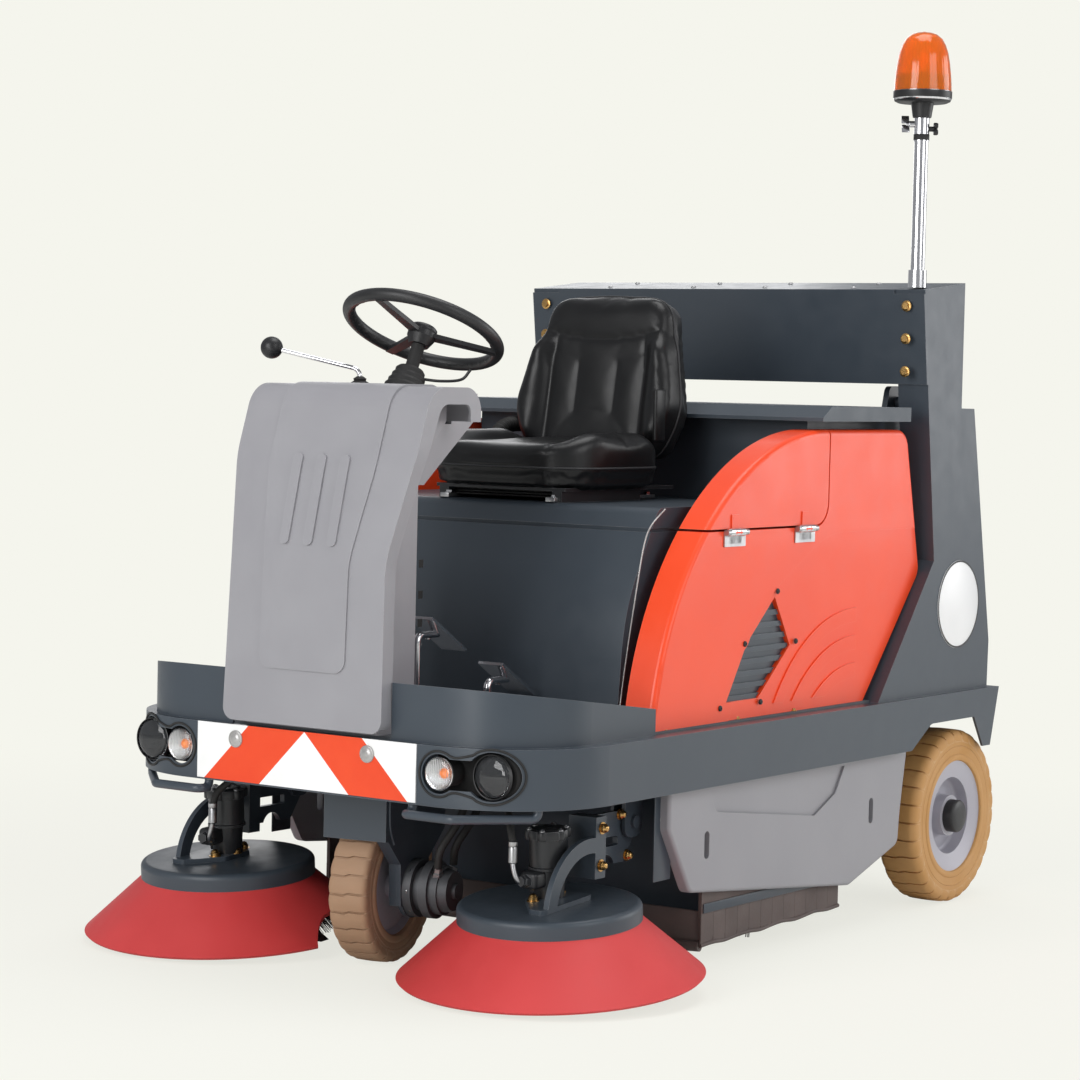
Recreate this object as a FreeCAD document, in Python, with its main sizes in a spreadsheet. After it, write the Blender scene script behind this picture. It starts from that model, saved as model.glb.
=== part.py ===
import FreeCAD, Part
import math
import os
import re

import Sketcher

# Compact ride-on road sweeper, millimetres.
# X points forward, Y to the driver's left, Z up; the floor is Z = 0 and the
# origin lies under the middle of the whole machine.

os.makedirs("parts", exist_ok=True)
doc = FreeCAD.newDocument("road_sweeper")
Vector = FreeCAD.Vector

# Driving dimensions

DIMS = {
    # wheels
    "rear_axle_x": -803,
    "rear_tyre_radius": 205,
    "rear_tyre_width": 105,
    "rear_tyre_inset": 21,
    "rear_shoulder_drop": 14,
    "rear_shoulder_width": 16,
    "rim_radius": 131,
    "rim_bead_depth": 9,
    "rim_face_width": 40,
    "rim_face_inset": 16,
    "rim_dish_depth": 34,
    "rim_web_thick": 10,
    "hub_radius": 48,
    "hub_cap_radius": 31,
    "hub_cap_proud": 8,
    "axle_radius": 15,
    "axle_clearance": 0.3,
    "front_axle_x": 675,
    "front_tyre_radius": 160,
    "front_tyre_width": 88,
    "front_wheel_shift": -25,
    "front_shoulder_drop": 11,
    "front_shoulder_width": 12,
    "front_rim_radius": 102,
    "front_rim_recess": 24,
    "front_hub_radius": 40,
    "steer_parked": 10,
    # bumper beam around the deck
    "beam_half": 563,
    "beam_front_x": 971,
    "beam_rear_x": -967,
    "beam_low": 385,
    "beam_top": 504,
    "beam_round": 250,
    "beam_wall": 6,
    "flange_width": 60,
    "arch_front_x": -534,
    "arch_crown_front_x": -625,
    "arch_crown_z": 440,
    "arch_crown_rear_x": -841,
    "arch_crown_round": 40,
    "arch_foot_x": -892,
    "arch_foot_z": 366,
    "tail_foot_x": -928,
    "cut_margin": 40,
    # lamps in the beam
    "lamp_z": 450,
    "indicator_y": 332,
    "indicator_radius": 33,
    "indicator_thick": 12,
    "headlamp_y": 436,
    "headlamp_radius": 42,
    "headlamp_thick": 14,
    "lamp_bezel": 6,
    "indicator_face_x": 971,
    "headlamp_face_x": 933,
    "lamp_neck": 30,
    "pod_depth": 14,
    "guard_radius": 9,
    "guard_drop": 18,
    "guard_inner_y": 262,
    "guard_outer_y": 498,
    "guard_front_x": 987,
    "guard_leg_x": 867.5,
    "guard_bend": 14,
    "guard_root": 48,
    "guard_bite": 1,
    # warning board
    "board_half": 280,
    "board_low": 389,
    "board_thick": 3,
    # deck
    "wall_inset": 33,
    "wall_thick": 5,
    "wall_end_x": 505,
    "wall_end_z": 557,
    "wall_front_z": 617,
    "floor_thick": 5,
    "floor_rear_x": -565,
    "seat_gap": 0.3,
    # chassis
    "rail_width": 52,
    "rail_height": 60,
    "rail_front_x": 845,
    "rail_bend_x": 715,
    "rail_rear_x": -915,
    "cross_width": 60,
    "cross_mid_x": 325,
    "cross_rear_x": -535,
    "head_plate_half": 130,
    "bearing_radius": 88,
    "bearing_height": 26,
    "bearing_bore": 40,
    "bracket_thick": 12,
    "bracket_gap": 7,
    "bracket_top_half": 76,
    "bracket_foot_half": 42,
    "bracket_foot_drop": 48,
    "gusset_thick": 12,
    # front fairing
    "fairing_half": 203,
    "fairing_waist_half": 196,
    "fairing_top_half": 229,
    "fairing_low": 516,
    "fairing_front_x": 988,
    "fairing_waist_x": 976,
    "fairing_waist_z": 850,
    "fairing_waist_round": 400,
    "fairing_neck_x": 931,
    "fairing_neck_z": 1035,
    "fairing_neck_round": 220,
    "fairing_brow_x": 877,
    "fairing_brow_round": 66,
    "fairing_crown_z": 1197,
    "fairing_lip_x": 713,
    "fairing_lip_z": 1128,
    "fairing_lip_round": 50,
    "fairing_foot_round": 26,
    "fairing_thick": 6,
    "fairing_return": 34,
    "fairing_panel_half": 108,
    "fairing_panel_top_half": 136,
    "fairing_panel_low": 628,
    "fairing_panel_proud": 4,
    "fairing_rib_y": 60,
    "fairing_rib_half": 11,
    "fairing_rib_low": 878,
    "fairing_rib_top": 1058,
    "fairing_rib_proud": 9,
    # steering console
    "console_half": 168,
    "console_rear_x": 837,
    "console_waist_z": 1040,
    "tower_half": 152,
    "tower_rear_x": 621,
    "tower_low": 1136,
    "tower_top": 1184,
    "tower_root_z": 1000,
    "column_x": 670,
    "column_tilt": 25.5,
    "boot_radius": 44,
    "boot_top_radius": 27,
    "boot_height": 52,
    "boot_folds": 4,
    "column_radius": 14,
    "steering_reach": 143,
    "wheel_gap": 0.3,
    "steering_radius": 174,
    "steering_rim": 13.5,
    "steering_hub_radius": 30,
    "steering_hub_height": 36,
    "spoke_width": 26,
    "spoke_thick": 9,
    "lever_x": 655,
    "lever_y": -128,
    "lever_boot_radius": 22,
    "lever_boot_height": 22,
    "lever_radius": 5,
    "lever_rise": 44,
    "lever_out_x": 82,
    "lever_out_y": 172,
    "lever_up": 86,
    "lever_bend": 20,
    "lever_knob": 23,
    # engine cover and engine
    "cover_inset": 32,
    "cover_top": 955,
    "cover_front_top_x": 341,
    "cover_front_mid_x": 463,
    "cover_front_mid_z": 745,
    "cover_front_foot_x": 481,
    "cover_front_round": 420,
    "cover_rear_x": -216,
    "cover_seam_z": 905,
    "cover_seam": 8,
    "cover_seam_depth": 7,
    "cover_wall": 18,
    "cover_edge": 28,
    "engine_front_x": 15,
    "engine_rear_x": -185,
    "engine_half": 210,
    "engine_top": 830,
    # seat
    "seat_x": 170,
    "cushion_length": 354,
    "cushion_width": 420,
    "cushion_low": 986,
    "cushion_thick": 96,
    "cushion_round": 110,
    "cushion_edge": 26,
    "rail_gauge": 300,
    "rail_bar": 24,
    "seat_back_width": 420,
    "seat_back_thick": 88,
    "seat_back_height": 366,
    "seat_back_low": 1040,
    "seat_back_x": -53,
    "seat_back_lean": 10,
    "seat_back_round": 110,
    "seat_back_edge": 26,
    "seat_spine": 60,
    "seat_spine_thick": 10,
    "seat_spine_top": 200,
    "seat_spine_drop": 62,
    "seat_pan_thick": 7,
    "seat_pan_half": 170,
    "seat_pan_rear_x": -105,
    # orange side covers
    "side_inset": 41,
    "side_thick": 70,
    "side_front_x": 510,
    "side_top": 1119,
    "side_sweep": 690,
    "side_top_rear_x": -548,
    "side_waist_x": -627,
    "side_waist_z": 790,
    "side_foot_x": -385,
    "side_low": 516,
    "side_top_round": 45,
    "side_waist_round": 36,
    "side_edge": 12,
    "flap_low": 913,
    "flap_gap": 5,
    "flap_rear_x": -187,
    "flap_round": 48,
    "hinge_z": 906,
    "hinge_radius": 6.5,
    "hinge_length": 84,
    "hinge_front_x": 206,
    "hinge_rear_x": -86,
    "hinge_leaf": 30,
    "hinge_thick": 3,
    "hinge_pin": 2.5,
    "louvre_top_x": 25,
    "louvre_top_z": 762,
    "louvre_rear_x": -43,
    "louvre_rear_z": 654,
    "louvre_foot_rear_x": 86,
    "louvre_foot_front_x": 222,
    "louvre_foot_z": 548,
    "louvre_mid_x": 153,
    "louvre_pitch": 25,
    "louvre_slot": 14,
    "louvre_slat": 6,
    "louvre_count": 8,
    "louvre_depth": 19,
    "louvre_back": 4,
    "crease_depth": 4,
    "crease_top_z": 893,
    "crease_bend_x": -190,
    "crease_bend_round": 300,
    "crease_knee_x": 115,
    "crease_knee_z": 733,
    "crease_knee_round": 350,
    "crease_foot_x": 260,
    "arc_x": -330,
    "arc_z": 298,
    "arc_outer": 424,
    "arc_pitch": 62,
    "arc_width": 32,
    "arc_proud": 3,
    "arc_low": 532,
    # tank housing behind the seat
    "tank_inset": 6,
    "tank_front_x": -219,
    "tank_rear_x": -573,
    "lid_low": 1138,
    "lid_thick": 32,
    "lid_proud": 10,
    "lid_front_x": -139,
    "lid_rear_x": -541,
    "lid_bevel": 38,
    "hose_radius": 16,
    "hose_y": -300,
    "hose_z": 1112,
    "hose_reach": 150,
    "hose_bend": 50,
    # portal
    "portal_inset": 17,
    "post_width": 78,
    "post_top_front_x": -566,
    "post_top_z": 1440,
    "post_mid_front_x": -601,
    "post_mid_z": 1158,
    "post_waist_front_x": -647,
    "post_waist_z": 816,
    "post_foot_front_x": -396,
    "post_foot_rear_x": -935,
    "post_shin_x": -938,
    "post_shin_z": 616,
    "post_step_x": -828,
    "post_step_z": 1169,
    "post_neck_x": -763,
    "post_crown_z": 1462,
    "portal_low": 1223,
    "portal_top": 1430,
    "portal_wall": 6,
    "portal_rear_low": 1300,
    "pole_x": -591,
    "pole_y": 511,
    "pole_radius": 16,
    "pole_socket_radius": 21,
    "pole_socket_height": 40,
    "pole_top": 1779,
    "clamp_top": 1834,
    "clamp_radius": 17.5,
    "beacon_base_height": 26,
    "beacon_radius": 67,
    "beacon_neck_radius": 26,
    "beacon_low": 1893,
    "beacon_step": 1,
    "beacon_shoulder_height": 45,
    "beacon_top_radius": 38,
    "beacon_height": 136,
    "beacon_round": 28,
    "tail_lamp_z": 1276,
    "tail_lamp_height": 150,
    "tail_lamp_width": 44,
    "tail_lamp_thick": 24,
    # broom bay
    "bay_thick": 26,
    "bay_front_x": 442,
    "bay_rear_x": -575,
    "bay_visible_top": 380,
    "bay_top": 470,
    "bay_tab_rear_x": -515,
    "bay_front_low_z": 302,
    "bay_front_foot_x": 355,
    "bay_front_foot_z": 163,
    "bay_low": 97,
    "bay_mid_foot_x": -320,
    "bay_rear_foot_x": -543,
    "bay_rear_foot_z": 166,
    "bay_rear_low_x": -550,
    "bay_rear_low_z": 239,
    "bay_round": 26,
    "bay_edge": 8,
    "bay_slot_front_x": 295,
    "bay_slot_rear_x": -408,
    "bay_slot_low": 228,
    "bay_slot_height": 58,
    "bay_slot_width": 20,
    "bay_dent_top_z": 371,
    "bay_dent_front_x": 286,
    "bay_dent_shoulder_x": 265,
    "bay_dent_shoulder_z": 323,
    "bay_dent_foot_x": -151,
    "bay_dent_foot_z": 272,
    "bay_dent_heel_x": -243,
    "bay_dent_heel_z": 313,
    "bay_dent_rear_x": -282,
    "bay_dent_depth": 6,
    "skirt_thick": 8,
    "skirt_front_x": 267,
    "skirt_rear_x": -313,
    "skirt_low": 52,
    "skirt_top": 240,
    "broom_x": -35,
    "broom_z": 196,
    "broom_radius": 186,
    "broom_core": 62,
    "broom_half": 438,
    "broom_blades": 12,
    "broom_blade_thick": 15,
    "broom_shaft_radius": 16,
    "hood_gap": 14,
    "hood_thick": 5,
    "hood_low": 60,
    "hood_rear_low": 222,
    "hood_round": 170,
    "cheek_thick": 6,
    # hopper
    "hopper_gap": 66,
    "hopper_front_x": -589,
    "hopper_rear_x": -923,
    "hopper_low": 240,
    "hopper_top": 1090,
    "hopper_top_rear_x": -847,
    "hopper_shoulder_z": 616,
    "hopper_wall": 8,
    "hopper_round": 36,
    "hopper_mouth_top": 430,
    "hopper_pivot_x": -715,
    "hopper_pivot_z": 1180,
    "hopper_pin": 14,
    "hopper_pin_depth": 14,
    "hopper_arm_thick": 14,
    "hopper_arm_half": 38,
    "hopper_handle_z": 900,
    "hopper_handle_half": 150,
    "hopper_handle_radius": 9,
    "hopper_handle_reach": 46,
    # side brushes
    "brush_x": 696,
    "brush_y": 420,
    "brush_tilt": 4.2,
    "brush_skirt_radius": 310,
    "brush_skirt_low": 29,
    "brush_skirt_thick": 5,
    "skirt_notch_x": 648,
    "skirt_notch_radius": 168,
    "brush_disc_radius": 186,
    "brush_disc_top": 179,
    "brush_disc_thick": 36,
    "brush_disc_wall": 6,
    "brush_disc_round": 12,
    "brush_plate_radius": 140,
    "brush_plate_thick": 14,
    "brush_plate_top": 118,
    "bristle_count": 12,
    "bristle_half": 13,
    "bristle_root": 105,
    "bristle_reach": 262,
    "bristle_thick": 12,
    "bristle_clear": 8,
    "brush_motor_radius": 38,
    "brush_motor_height": 132,
    "brush_flange_radius": 62,
    "brush_flange_thick": 10,
    "brush_cap_radius": 42,
    "brush_cap_height": 16,
    "brush_motor_foot_radius": 30,
    "brush_motor_taper": 62,
    "brush_motor_ring": 3,
    "brush_shaft_radius": 12,
    "brush_shaft_top": 197,
    "arm_pivot_x": 467,
    "arm_pivot_z": 318,
    "arm_y": 440,
    "arm_thick": 12,
    "arm_pin": 12,
    "arm_pin_half": 26,
    "arm_half": 24,
    "arm_round": 22,
    "arm_post_rear_x": 607,
    "arm_post_front_x": 643,
    "arm_post_low": 222,
    "arm_post_top": 346,
    "arm_post_inner_y": 418,
    "arm_post_outer_y": 484,
    "arm_slot_low": 272,
    "arm_slot_height": 20,
    "arm_slot_rear_x": 506,
    "arm_slot_front_x": 592,
    "arm_link_low": 236,
    "arm_arch_x": 548,
    "arm_arch_radius": 30,
    "arch_plate_x": 660,
    "arch_plate_z": 160,
    "arch_plate_outer": 146,
    "arch_plate_inner": 116,
    "arch_plate_thick": 12,
    "arch_plate_foot": 174,
    "foot_front": 112,
    "foot_rear": 40,
    "foot_inner": 30,
    "foot_round": 12,
    "arm_cheek_gap": 4,
    "arm_cheek_thick": 8,
    "arm_cheek_half": 32,
    # pedals
    "pedal_x": 671,
    "pedal_y": 100,
    "pedal_pitch": 100,
    "pedal_width": 62,
    "pedal_length": 138,
    "pedal_thick": 6,
    "pedal_lean": 59,
    "pedal_rise": 182,
    "pedal_step_x": 109,
    "pedal_step_z": 93,
    "pedal_arm": 16,
    # fork
    "fork_plate": 10,
    "fork_front": 134,
    "fork_rear": 134,
    "fork_right_y": -92,
    "fork_left_y": 52,
    "fork_head_low": 270,
    "fork_head_top": 412,
    "fork_leg_round": 62,
    "fork_leg_mid_x": 66,
    "fork_leg_mid_z": 215,
    "fork_flange": 27,
    "spindle_depth": 30,
    "motor_radius": 60,
    "motor_neck_radius": 46,
    "motor_length": 92,
    "motor_cap_radius": 16,
}

sheet = doc.addObject("Spreadsheet::Sheet", "Dims")
for row, (name, value) in enumerate(DIMS.items(), 1):
    sheet.set("A%d" % row, name)
    sheet.set("B%d" % row, str(value))
    sheet.setAlias("B%d" % row, name)
doc.recompute()

# Expressions and sketches

WORD = re.compile(r"\b[a-z]+(?:_[a-z]+)+\b")
SHEET_PLANES = {"XY": "XY_Plane", "XZ": "XZ_Plane", "YZ": "YZ_Plane"}


# Places that follow from the width of the beam and from what lies beside them
FOLLOWS = {
    "rail_outer_y": "(beam_half-flange_width)",
    "portal_half": "(beam_half-portal_inset)",
    "hopper_half": "(portal_half-post_width-hopper_gap)",
    "side_outer_y": "(beam_half-side_inset)",
    "cover_half": "(side_outer_y-side_thick-cover_inset)",
    "tank_half": "(side_outer_y-side_thick-tank_inset)",
    "lid_half": "(side_outer_y+lid_proud)",
    "rear_tyre_outer_y": "(beam_half-rear_tyre_inset)",
    "bracket_inner_y": "(rear_tyre_outer_y-rear_tyre_width-bracket_gap-bracket_thick)",
}


def bound(text):
    """Write a dimension formula in the names of the sheet."""
    while any(found.group(0) in FOLLOWS for found in WORD.finditer(text)):
        text = WORD.sub(lambda found: FOLLOWS.get(found.group(0), found.group(0)), text)
    return WORD.sub(lambda found: "Dims." + found.group(0), text)


def size(text):
    """Value of a dimension formula."""
    value = sheet.evalExpression(bound(text))
    return float(getattr(value, "Value", value))


def new_body(label):
    body = doc.addObject("PartDesign::Body", label)
    body.Label = label
    return body


def sketch_on(body, plane, start):
    """Empty sketch on one of the body's own planes, moved along its axis."""
    role = SHEET_PLANES[plane]
    sketch = body.newObject("Sketcher::SketchObject", body.Name + "_sketch")
    support = [item for item in body.Origin.OriginFeatures if item.Role == role][0]
    sketch.AttachmentSupport = [(support, "")]
    sketch.MapMode = "FlatFace"
    sign = "-" if plane == "XZ" else ""
    sketch.setExpression("AttachmentOffset.Base.z", bound("%s(%s)" % (sign, start)))
    return sketch


def fix_point(sketch, index, position, u, v):
    """Hold one point of the sketch at the formulas u and v."""
    for kind, text in (("DistanceX", u), ("DistanceY", v)):
        held = Sketcher.Constraint(kind, -1, 1, index, position, size(text))
        number = sketch.addConstraint(held)
        sketch.setExpression("Constraints[%d]" % number, bound(text))


def add_circle(sketch, u, v, radius):
    centre = Vector(size(u), size(v), 0)
    index = sketch.addGeometry(Part.Circle(centre, Vector(0, 0, 1), size(radius)), False)
    fix_point(sketch, index, 3, u, v)
    number = sketch.addConstraint(Sketcher.Constraint("Radius", index, size(radius)))
    sketch.setExpression("Constraints[%d]" % number, bound(radius))


def add_outline(sketch, corners):
    """Closed outline; a corner (u, v, radius) is rounded by a tangent arc."""
    count = len(corners)
    points = [Vector(size(corner[0]), size(corner[1]), 0) for corner in corners]
    ends = []
    for i, corner in enumerate(corners):
        here = points[i]
        if len(corner) == 2:
            ends.append((here, here, None))
            continue
        back = (points[i - 1] - here).normalize()
        ahead = (points[(i + 1) % count] - here).normalize()
        half = back.getAngle(ahead) / 2
        reach = size(corner[2]) / math.tan(half)
        middle = here + (back + ahead).normalize() * (size(corner[2]) / math.sin(half))
        ends.append((here + back * reach, here + ahead * reach, middle))
    lines = []
    for i in range(count):
        begin = ends[i][1]
        finish = ends[(i + 1) % count][0]
        lines.append(sketch.addGeometry(Part.LineSegment(begin, finish), False))
    for i, corner in enumerate(corners):
        before = lines[i - 1]
        after = lines[i]
        if len(corner) == 2:
            sketch.addConstraint(Sketcher.Constraint("Coincident", before, 2, after, 1))
            fix_point(sketch, after, 1, corner[0], corner[1])
            continue
        first, last, middle = ends[i]
        turn = (first - middle).cross(last - middle).z
        axis = Vector(0, 0, 1 if turn > 0 else -1)
        circle = Part.Circle(middle, Vector(0, 0, 1), (first - middle).Length)
        low = first if turn > 0 else last
        high = last if turn > 0 else first
        arc = Part.ArcOfCircle(circle, circle.parameter(low), circle.parameter(high))
        index = sketch.addGeometry(arc, False)
        begin = 1 if axis.z > 0 else 2
        finish = 2 if axis.z > 0 else 1
        mark = sketch.addGeometry(Part.Point(points[i]), True)
        fix_point(sketch, mark, 1, corner[0], corner[1])
        sketch.addConstraint(Sketcher.Constraint("PointOnObject", mark, 1, before))
        sketch.addConstraint(Sketcher.Constraint("PointOnObject", mark, 1, after))
        sketch.addConstraint(Sketcher.Constraint("Tangent", before, 2, index, begin))
        sketch.addConstraint(Sketcher.Constraint("Tangent", index, finish, after, 1))
        number = sketch.addConstraint(Sketcher.Constraint("Radius", index, size(corner[2])))
        sketch.setExpression("Constraints[%d]" % number, bound(corner[2]))


def extrude(body, plane, start, length, outlines=(), circles=(), cut=False):
    """Pad, or pocket, of a bound sketch from start, towards the plus side."""
    sketch = sketch_on(body, plane, start)
    for corners in outlines:
        add_outline(sketch, corners)
    for u, v, radius in circles:
        add_circle(sketch, u, v, radius)
    kind = "PartDesign::Pocket" if cut else "PartDesign::Pad"
    feature = body.newObject(kind, body.Name + ("_pocket" if cut else "_pad"))
    feature.Profile = sketch
    feature.setExpression("Length", bound(length))
    feature.Reversed = (plane == "XZ") != cut
    body.Tip = feature
    doc.recompute()
    return feature


def revolve(body, plane, corners, axis="H_Axis", cut=False):
    """Full turn of a bound outline about an axis of its sketch."""
    sketch = sketch_on(body, plane, "0")
    add_outline(sketch, corners)
    kind = "PartDesign::Groove" if cut else "PartDesign::Revolution"
    feature = body.newObject(kind, body.Name + "_turn")
    feature.Profile = sketch
    feature.ReferenceAxis = (sketch, [axis])
    feature.Angle = 360
    body.Tip = feature
    doc.recompute()
    return feature


def around(body, feature, count, plane="XZ"):
    """Repeat a feature evenly about the axis square to the body's plane."""
    axis = {"XZ": "Y_Axis", "XY": "Z_Axis", "YZ": "X_Axis"}[plane]
    pattern = body.newObject("PartDesign::PolarPattern", body.Name + "_ring")
    pattern.Originals = [feature]
    pattern.Axis = ([item for item in body.Origin.OriginFeatures if item.Role == axis][0], [""])
    pattern.Angle = 360
    pattern.setExpression("Occurrences", bound(count))
    body.Tip = pattern
    doc.recompute()
    return pattern


def place(item, x="0", y="0", z="0", axis=None, angle="0"):
    """Put an object at formulas, turned about one axis."""
    if axis is not None:
        item.Placement = FreeCAD.Placement(Vector(0, 0, 0), FreeCAD.Rotation(axis, 1))
        item.setExpression("Placement.Rotation.Angle", bound(angle))
    for key, text in (("x", x), ("y", y), ("z", z)):
        item.setExpression("Placement.Base." + key, bound(text))
    doc.recompute()


def mirrored(source, label):
    """The same piece on the machine's other side."""
    twin = doc.addObject("Part::Mirroring", label)
    twin.Label = label
    twin.Source = source
    twin.Normal = Vector(0, 1, 0)
    return twin


def together(label, pieces):
    """Like pieces on one body, kept as separate solids of one node."""
    group = doc.addObject("Part::Compound", label)
    group.Label = label
    group.Links = pieces
    return group


def fused(label, pieces):
    joined = doc.addObject("Part::MultiFuse", label)
    joined.Label = label
    joined.Shapes = pieces
    joined.Refine = True
    return joined


def cylinder(label, radius, height):
    item = doc.addObject("Part::Cylinder", label)
    item.Label = label
    item.setExpression("Radius", bound(radius))
    item.setExpression("Height", bound(height))
    return item


def bent_tube(label, points, radius, bend):
    """Round bar or hose along straight runs joined by tangent arcs."""
    edges = []
    start = points[0]
    for here, ahead in zip(points[1:-1], points[2:]):
        back = (start - here).normalize()
        forth = (ahead - here).normalize()
        half = back.getAngle(forth) / 2
        reach = bend / math.tan(half)
        inner = here + (back + forth).normalize() * (bend / math.sin(half) - bend)
        first = here + back * reach
        last = here + forth * reach
        edges.append(Part.makeLine(start, first))
        edges.append(Part.Arc(first, inner, last).toShape())
        start = last
    edges.append(Part.makeLine(start, points[-1]))
    spine = Part.Wire(edges)
    ring = Part.makeCircle(radius, points[0], points[1] - points[0])
    item = doc.addObject("Part::Feature", label)
    item.Label = label
    item.Shape = spine.makePipeShell([Part.Wire(ring)], True, False)
    return item


nodes = []


def keep(*items):
    nodes.extend(items)


# Bumper beam: a bent channel with a side profile cut for the rear wheels

def bent_plan(half, front, rear, corner, width):
    """Plan outline of a U-shaped strip that runs round the front."""
    inner = "%s-(%s)" % (half, width)
    return [
        (rear, "-(%s)" % half),
        (front, "-(%s)" % half, corner),
        (front, half, corner),
        (rear, half),
        (rear, inner),
        ("%s-(%s)" % (front, width), inner, "%s-(%s)" % (corner, width)),
        ("%s-(%s)" % (front, width), "-(%s)" % inner, "%s-(%s)" % (corner, width)),
        (rear, "-(%s)" % inner),
    ]


beam = new_body("beam_channel")
beam_plan = ("beam_half", "beam_front_x", "beam_rear_x", "beam_round")
extrude(beam, "XY", "arch_foot_z", "beam_top-arch_foot_z", [bent_plan(*beam_plan, "beam_wall")])
extrude(beam, "XY", "beam_top-beam_wall", "beam_wall", [bent_plan(*beam_plan, "flange_width")])
extrude(beam, "XZ", "-beam_half-cut_margin", "2*(beam_half+cut_margin)", [[
    ("beam_front_x+cut_margin", "arch_foot_z-cut_margin"),
    ("beam_front_x+cut_margin", "beam_low"),
    ("arch_front_x", "beam_low"),
    ("arch_crown_front_x", "arch_crown_z", "arch_crown_round"),
    ("arch_crown_rear_x", "arch_crown_z"),
    ("arch_foot_x", "arch_foot_z-1"),
    ("arch_foot_x", "arch_foot_z-cut_margin"),
]], cut=True)
extrude(beam, "XZ", "-beam_half-cut_margin", "2*(beam_half+cut_margin)", [[
    ("beam_rear_x", "beam_top"),
    ("tail_foot_x", "arch_foot_z"),
    ("tail_foot_x", "arch_foot_z-cut_margin"),
    ("beam_rear_x-cut_margin", "arch_foot_z-cut_margin"),
    ("beam_rear_x-cut_margin", "beam_top"),
]], cut=True)
for side in ("", "-"):
    extrude(beam, "YZ", "beam_front_x-beam_round", "beam_round+cut_margin", circles=[
        (side + "indicator_y", "lamp_z", "indicator_radius+lamp_bezel"),
    ], cut=True)
    extrude(beam, "YZ", "beam_front_x-beam_round", "beam_round+cut_margin", circles=[
        (side + "headlamp_y", "lamp_z", "headlamp_radius+lamp_bezel"),
    ], cut=True)
    extrude(beam, "YZ", "beam_front_x-beam_round", "beam_round+cut_margin", [[
        (side + "indicator_y", "lamp_z-lamp_neck"),
        (side + "headlamp_y", "lamp_z-lamp_neck"),
        (side + "headlamp_y", "lamp_z+lamp_neck"),
        (side + "indicator_y", "lamp_z+lamp_neck"),
    ]], cut=True)

# Lamps: a black pod behind each opening, with an indicator and a headlamp

pod = new_body("lamp_pod_left")
extrude(pod, "YZ", "headlamp_face_x-pod_depth-headlamp_thick", "pod_depth", [[
    ("indicator_y-indicator_radius-lamp_bezel", "lamp_z-headlamp_radius"),
    ("headlamp_y+headlamp_radius+lamp_bezel", "lamp_z-headlamp_radius", "headlamp_radius-0.5"),
    ("headlamp_y+headlamp_radius+lamp_bezel", "lamp_z+headlamp_radius", "headlamp_radius-0.5"),
    ("indicator_y-indicator_radius-lamp_bezel", "lamp_z+headlamp_radius"),
]])
extrude(pod, "YZ", "headlamp_face_x-headlamp_thick-pod_depth/2",
        "indicator_face_x-indicator_thick-headlamp_face_x+headlamp_thick+pod_depth/2",
        circles=[("indicator_y", "lamp_z", "indicator_radius-lamp_bezel")])
indicator = new_body("indicator_left")
extrude(indicator, "YZ", "indicator_face_x-indicator_thick", "indicator_thick",
        circles=[("indicator_y", "lamp_z", "indicator_radius")])
headlamp = new_body("headlamp_left")
extrude(headlamp, "YZ", "headlamp_face_x-headlamp_thick", "headlamp_thick",
        circles=[("headlamp_y", "lamp_z", "headlamp_radius")])
keep(together("lamp_pods", [pod, mirrored(pod, "lamp_pod_right")]))
keep(together("front_lamps", [
    indicator, mirrored(indicator, "indicator_right"),
    headlamp, mirrored(headlamp, "headlamp_right"),
]))

# Tubular guards welded under the lamps


def guard(label, sign):
    y_in = sign * size("guard_inner_y")
    y_out = sign * size("guard_outer_y")
    z = size("beam_low-guard_drop")
    root = size("beam_low+guard_root")
    inset = size("beam_front_x-beam_wall-guard_radius+guard_bite")
    points = [
        Vector(inset, y_in, root),
        Vector(inset, y_in, z),
        Vector(size("guard_front_x"), y_in, z),
        Vector(size("guard_front_x"), sign * size("indicator_y+guard_root"), z),
        Vector(size("guard_leg_x"), y_out, z),
        Vector(size("guard_leg_x"), y_out, root),
    ]
    return bent_tube(label, points, size("guard_radius"), size("guard_bend"))


beam_welded = fused("bumper_beam", [beam, guard("lamp_guard_left", 1), guard("lamp_guard_right", -1)])
keep(beam_welded)

# Warning board

board = new_body("chevron_board")
extrude(board, "YZ", "beam_front_x", "board_thick", [[
    ("-board_half", "board_low"),
    ("board_half", "board_low"),
    ("board_half", "beam_top"),
    ("-board_half", "beam_top"),
]])
keep(board)

# Deck: a low bent wall on the beam's flange and the floor inside it

wall = new_body("deck_wall")
wall_plan = ("beam_half-wall_inset", "beam_front_x-wall_inset/2", "wall_end_x", "beam_round-wall_inset")
extrude(wall, "XY", "beam_top", "wall_front_z-beam_top", [bent_plan(*wall_plan, "wall_thick")])
extrude(wall, "XZ", "-beam_half", "2*beam_half", [[
    ("wall_end_x-cut_margin", "wall_end_z"),
    ("wall_end_x", "wall_end_z"),
    ("beam_front_x-wall_inset/2", "wall_front_z"),
    ("beam_front_x", "wall_front_z+cut_margin"),
    ("wall_end_x-cut_margin", "wall_front_z+cut_margin"),
]], cut=True)
extrude(wall, "YZ", "beam_front_x-beam_round", "beam_round+cut_margin", [[
    ("-fairing_half-seat_gap", "beam_top"),
    ("fairing_half+seat_gap", "beam_top"),
    ("fairing_half+seat_gap", "wall_front_z+cut_margin"),
    ("-fairing_half-seat_gap", "wall_front_z+cut_margin"),
]], cut=True)
keep(wall)

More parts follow.
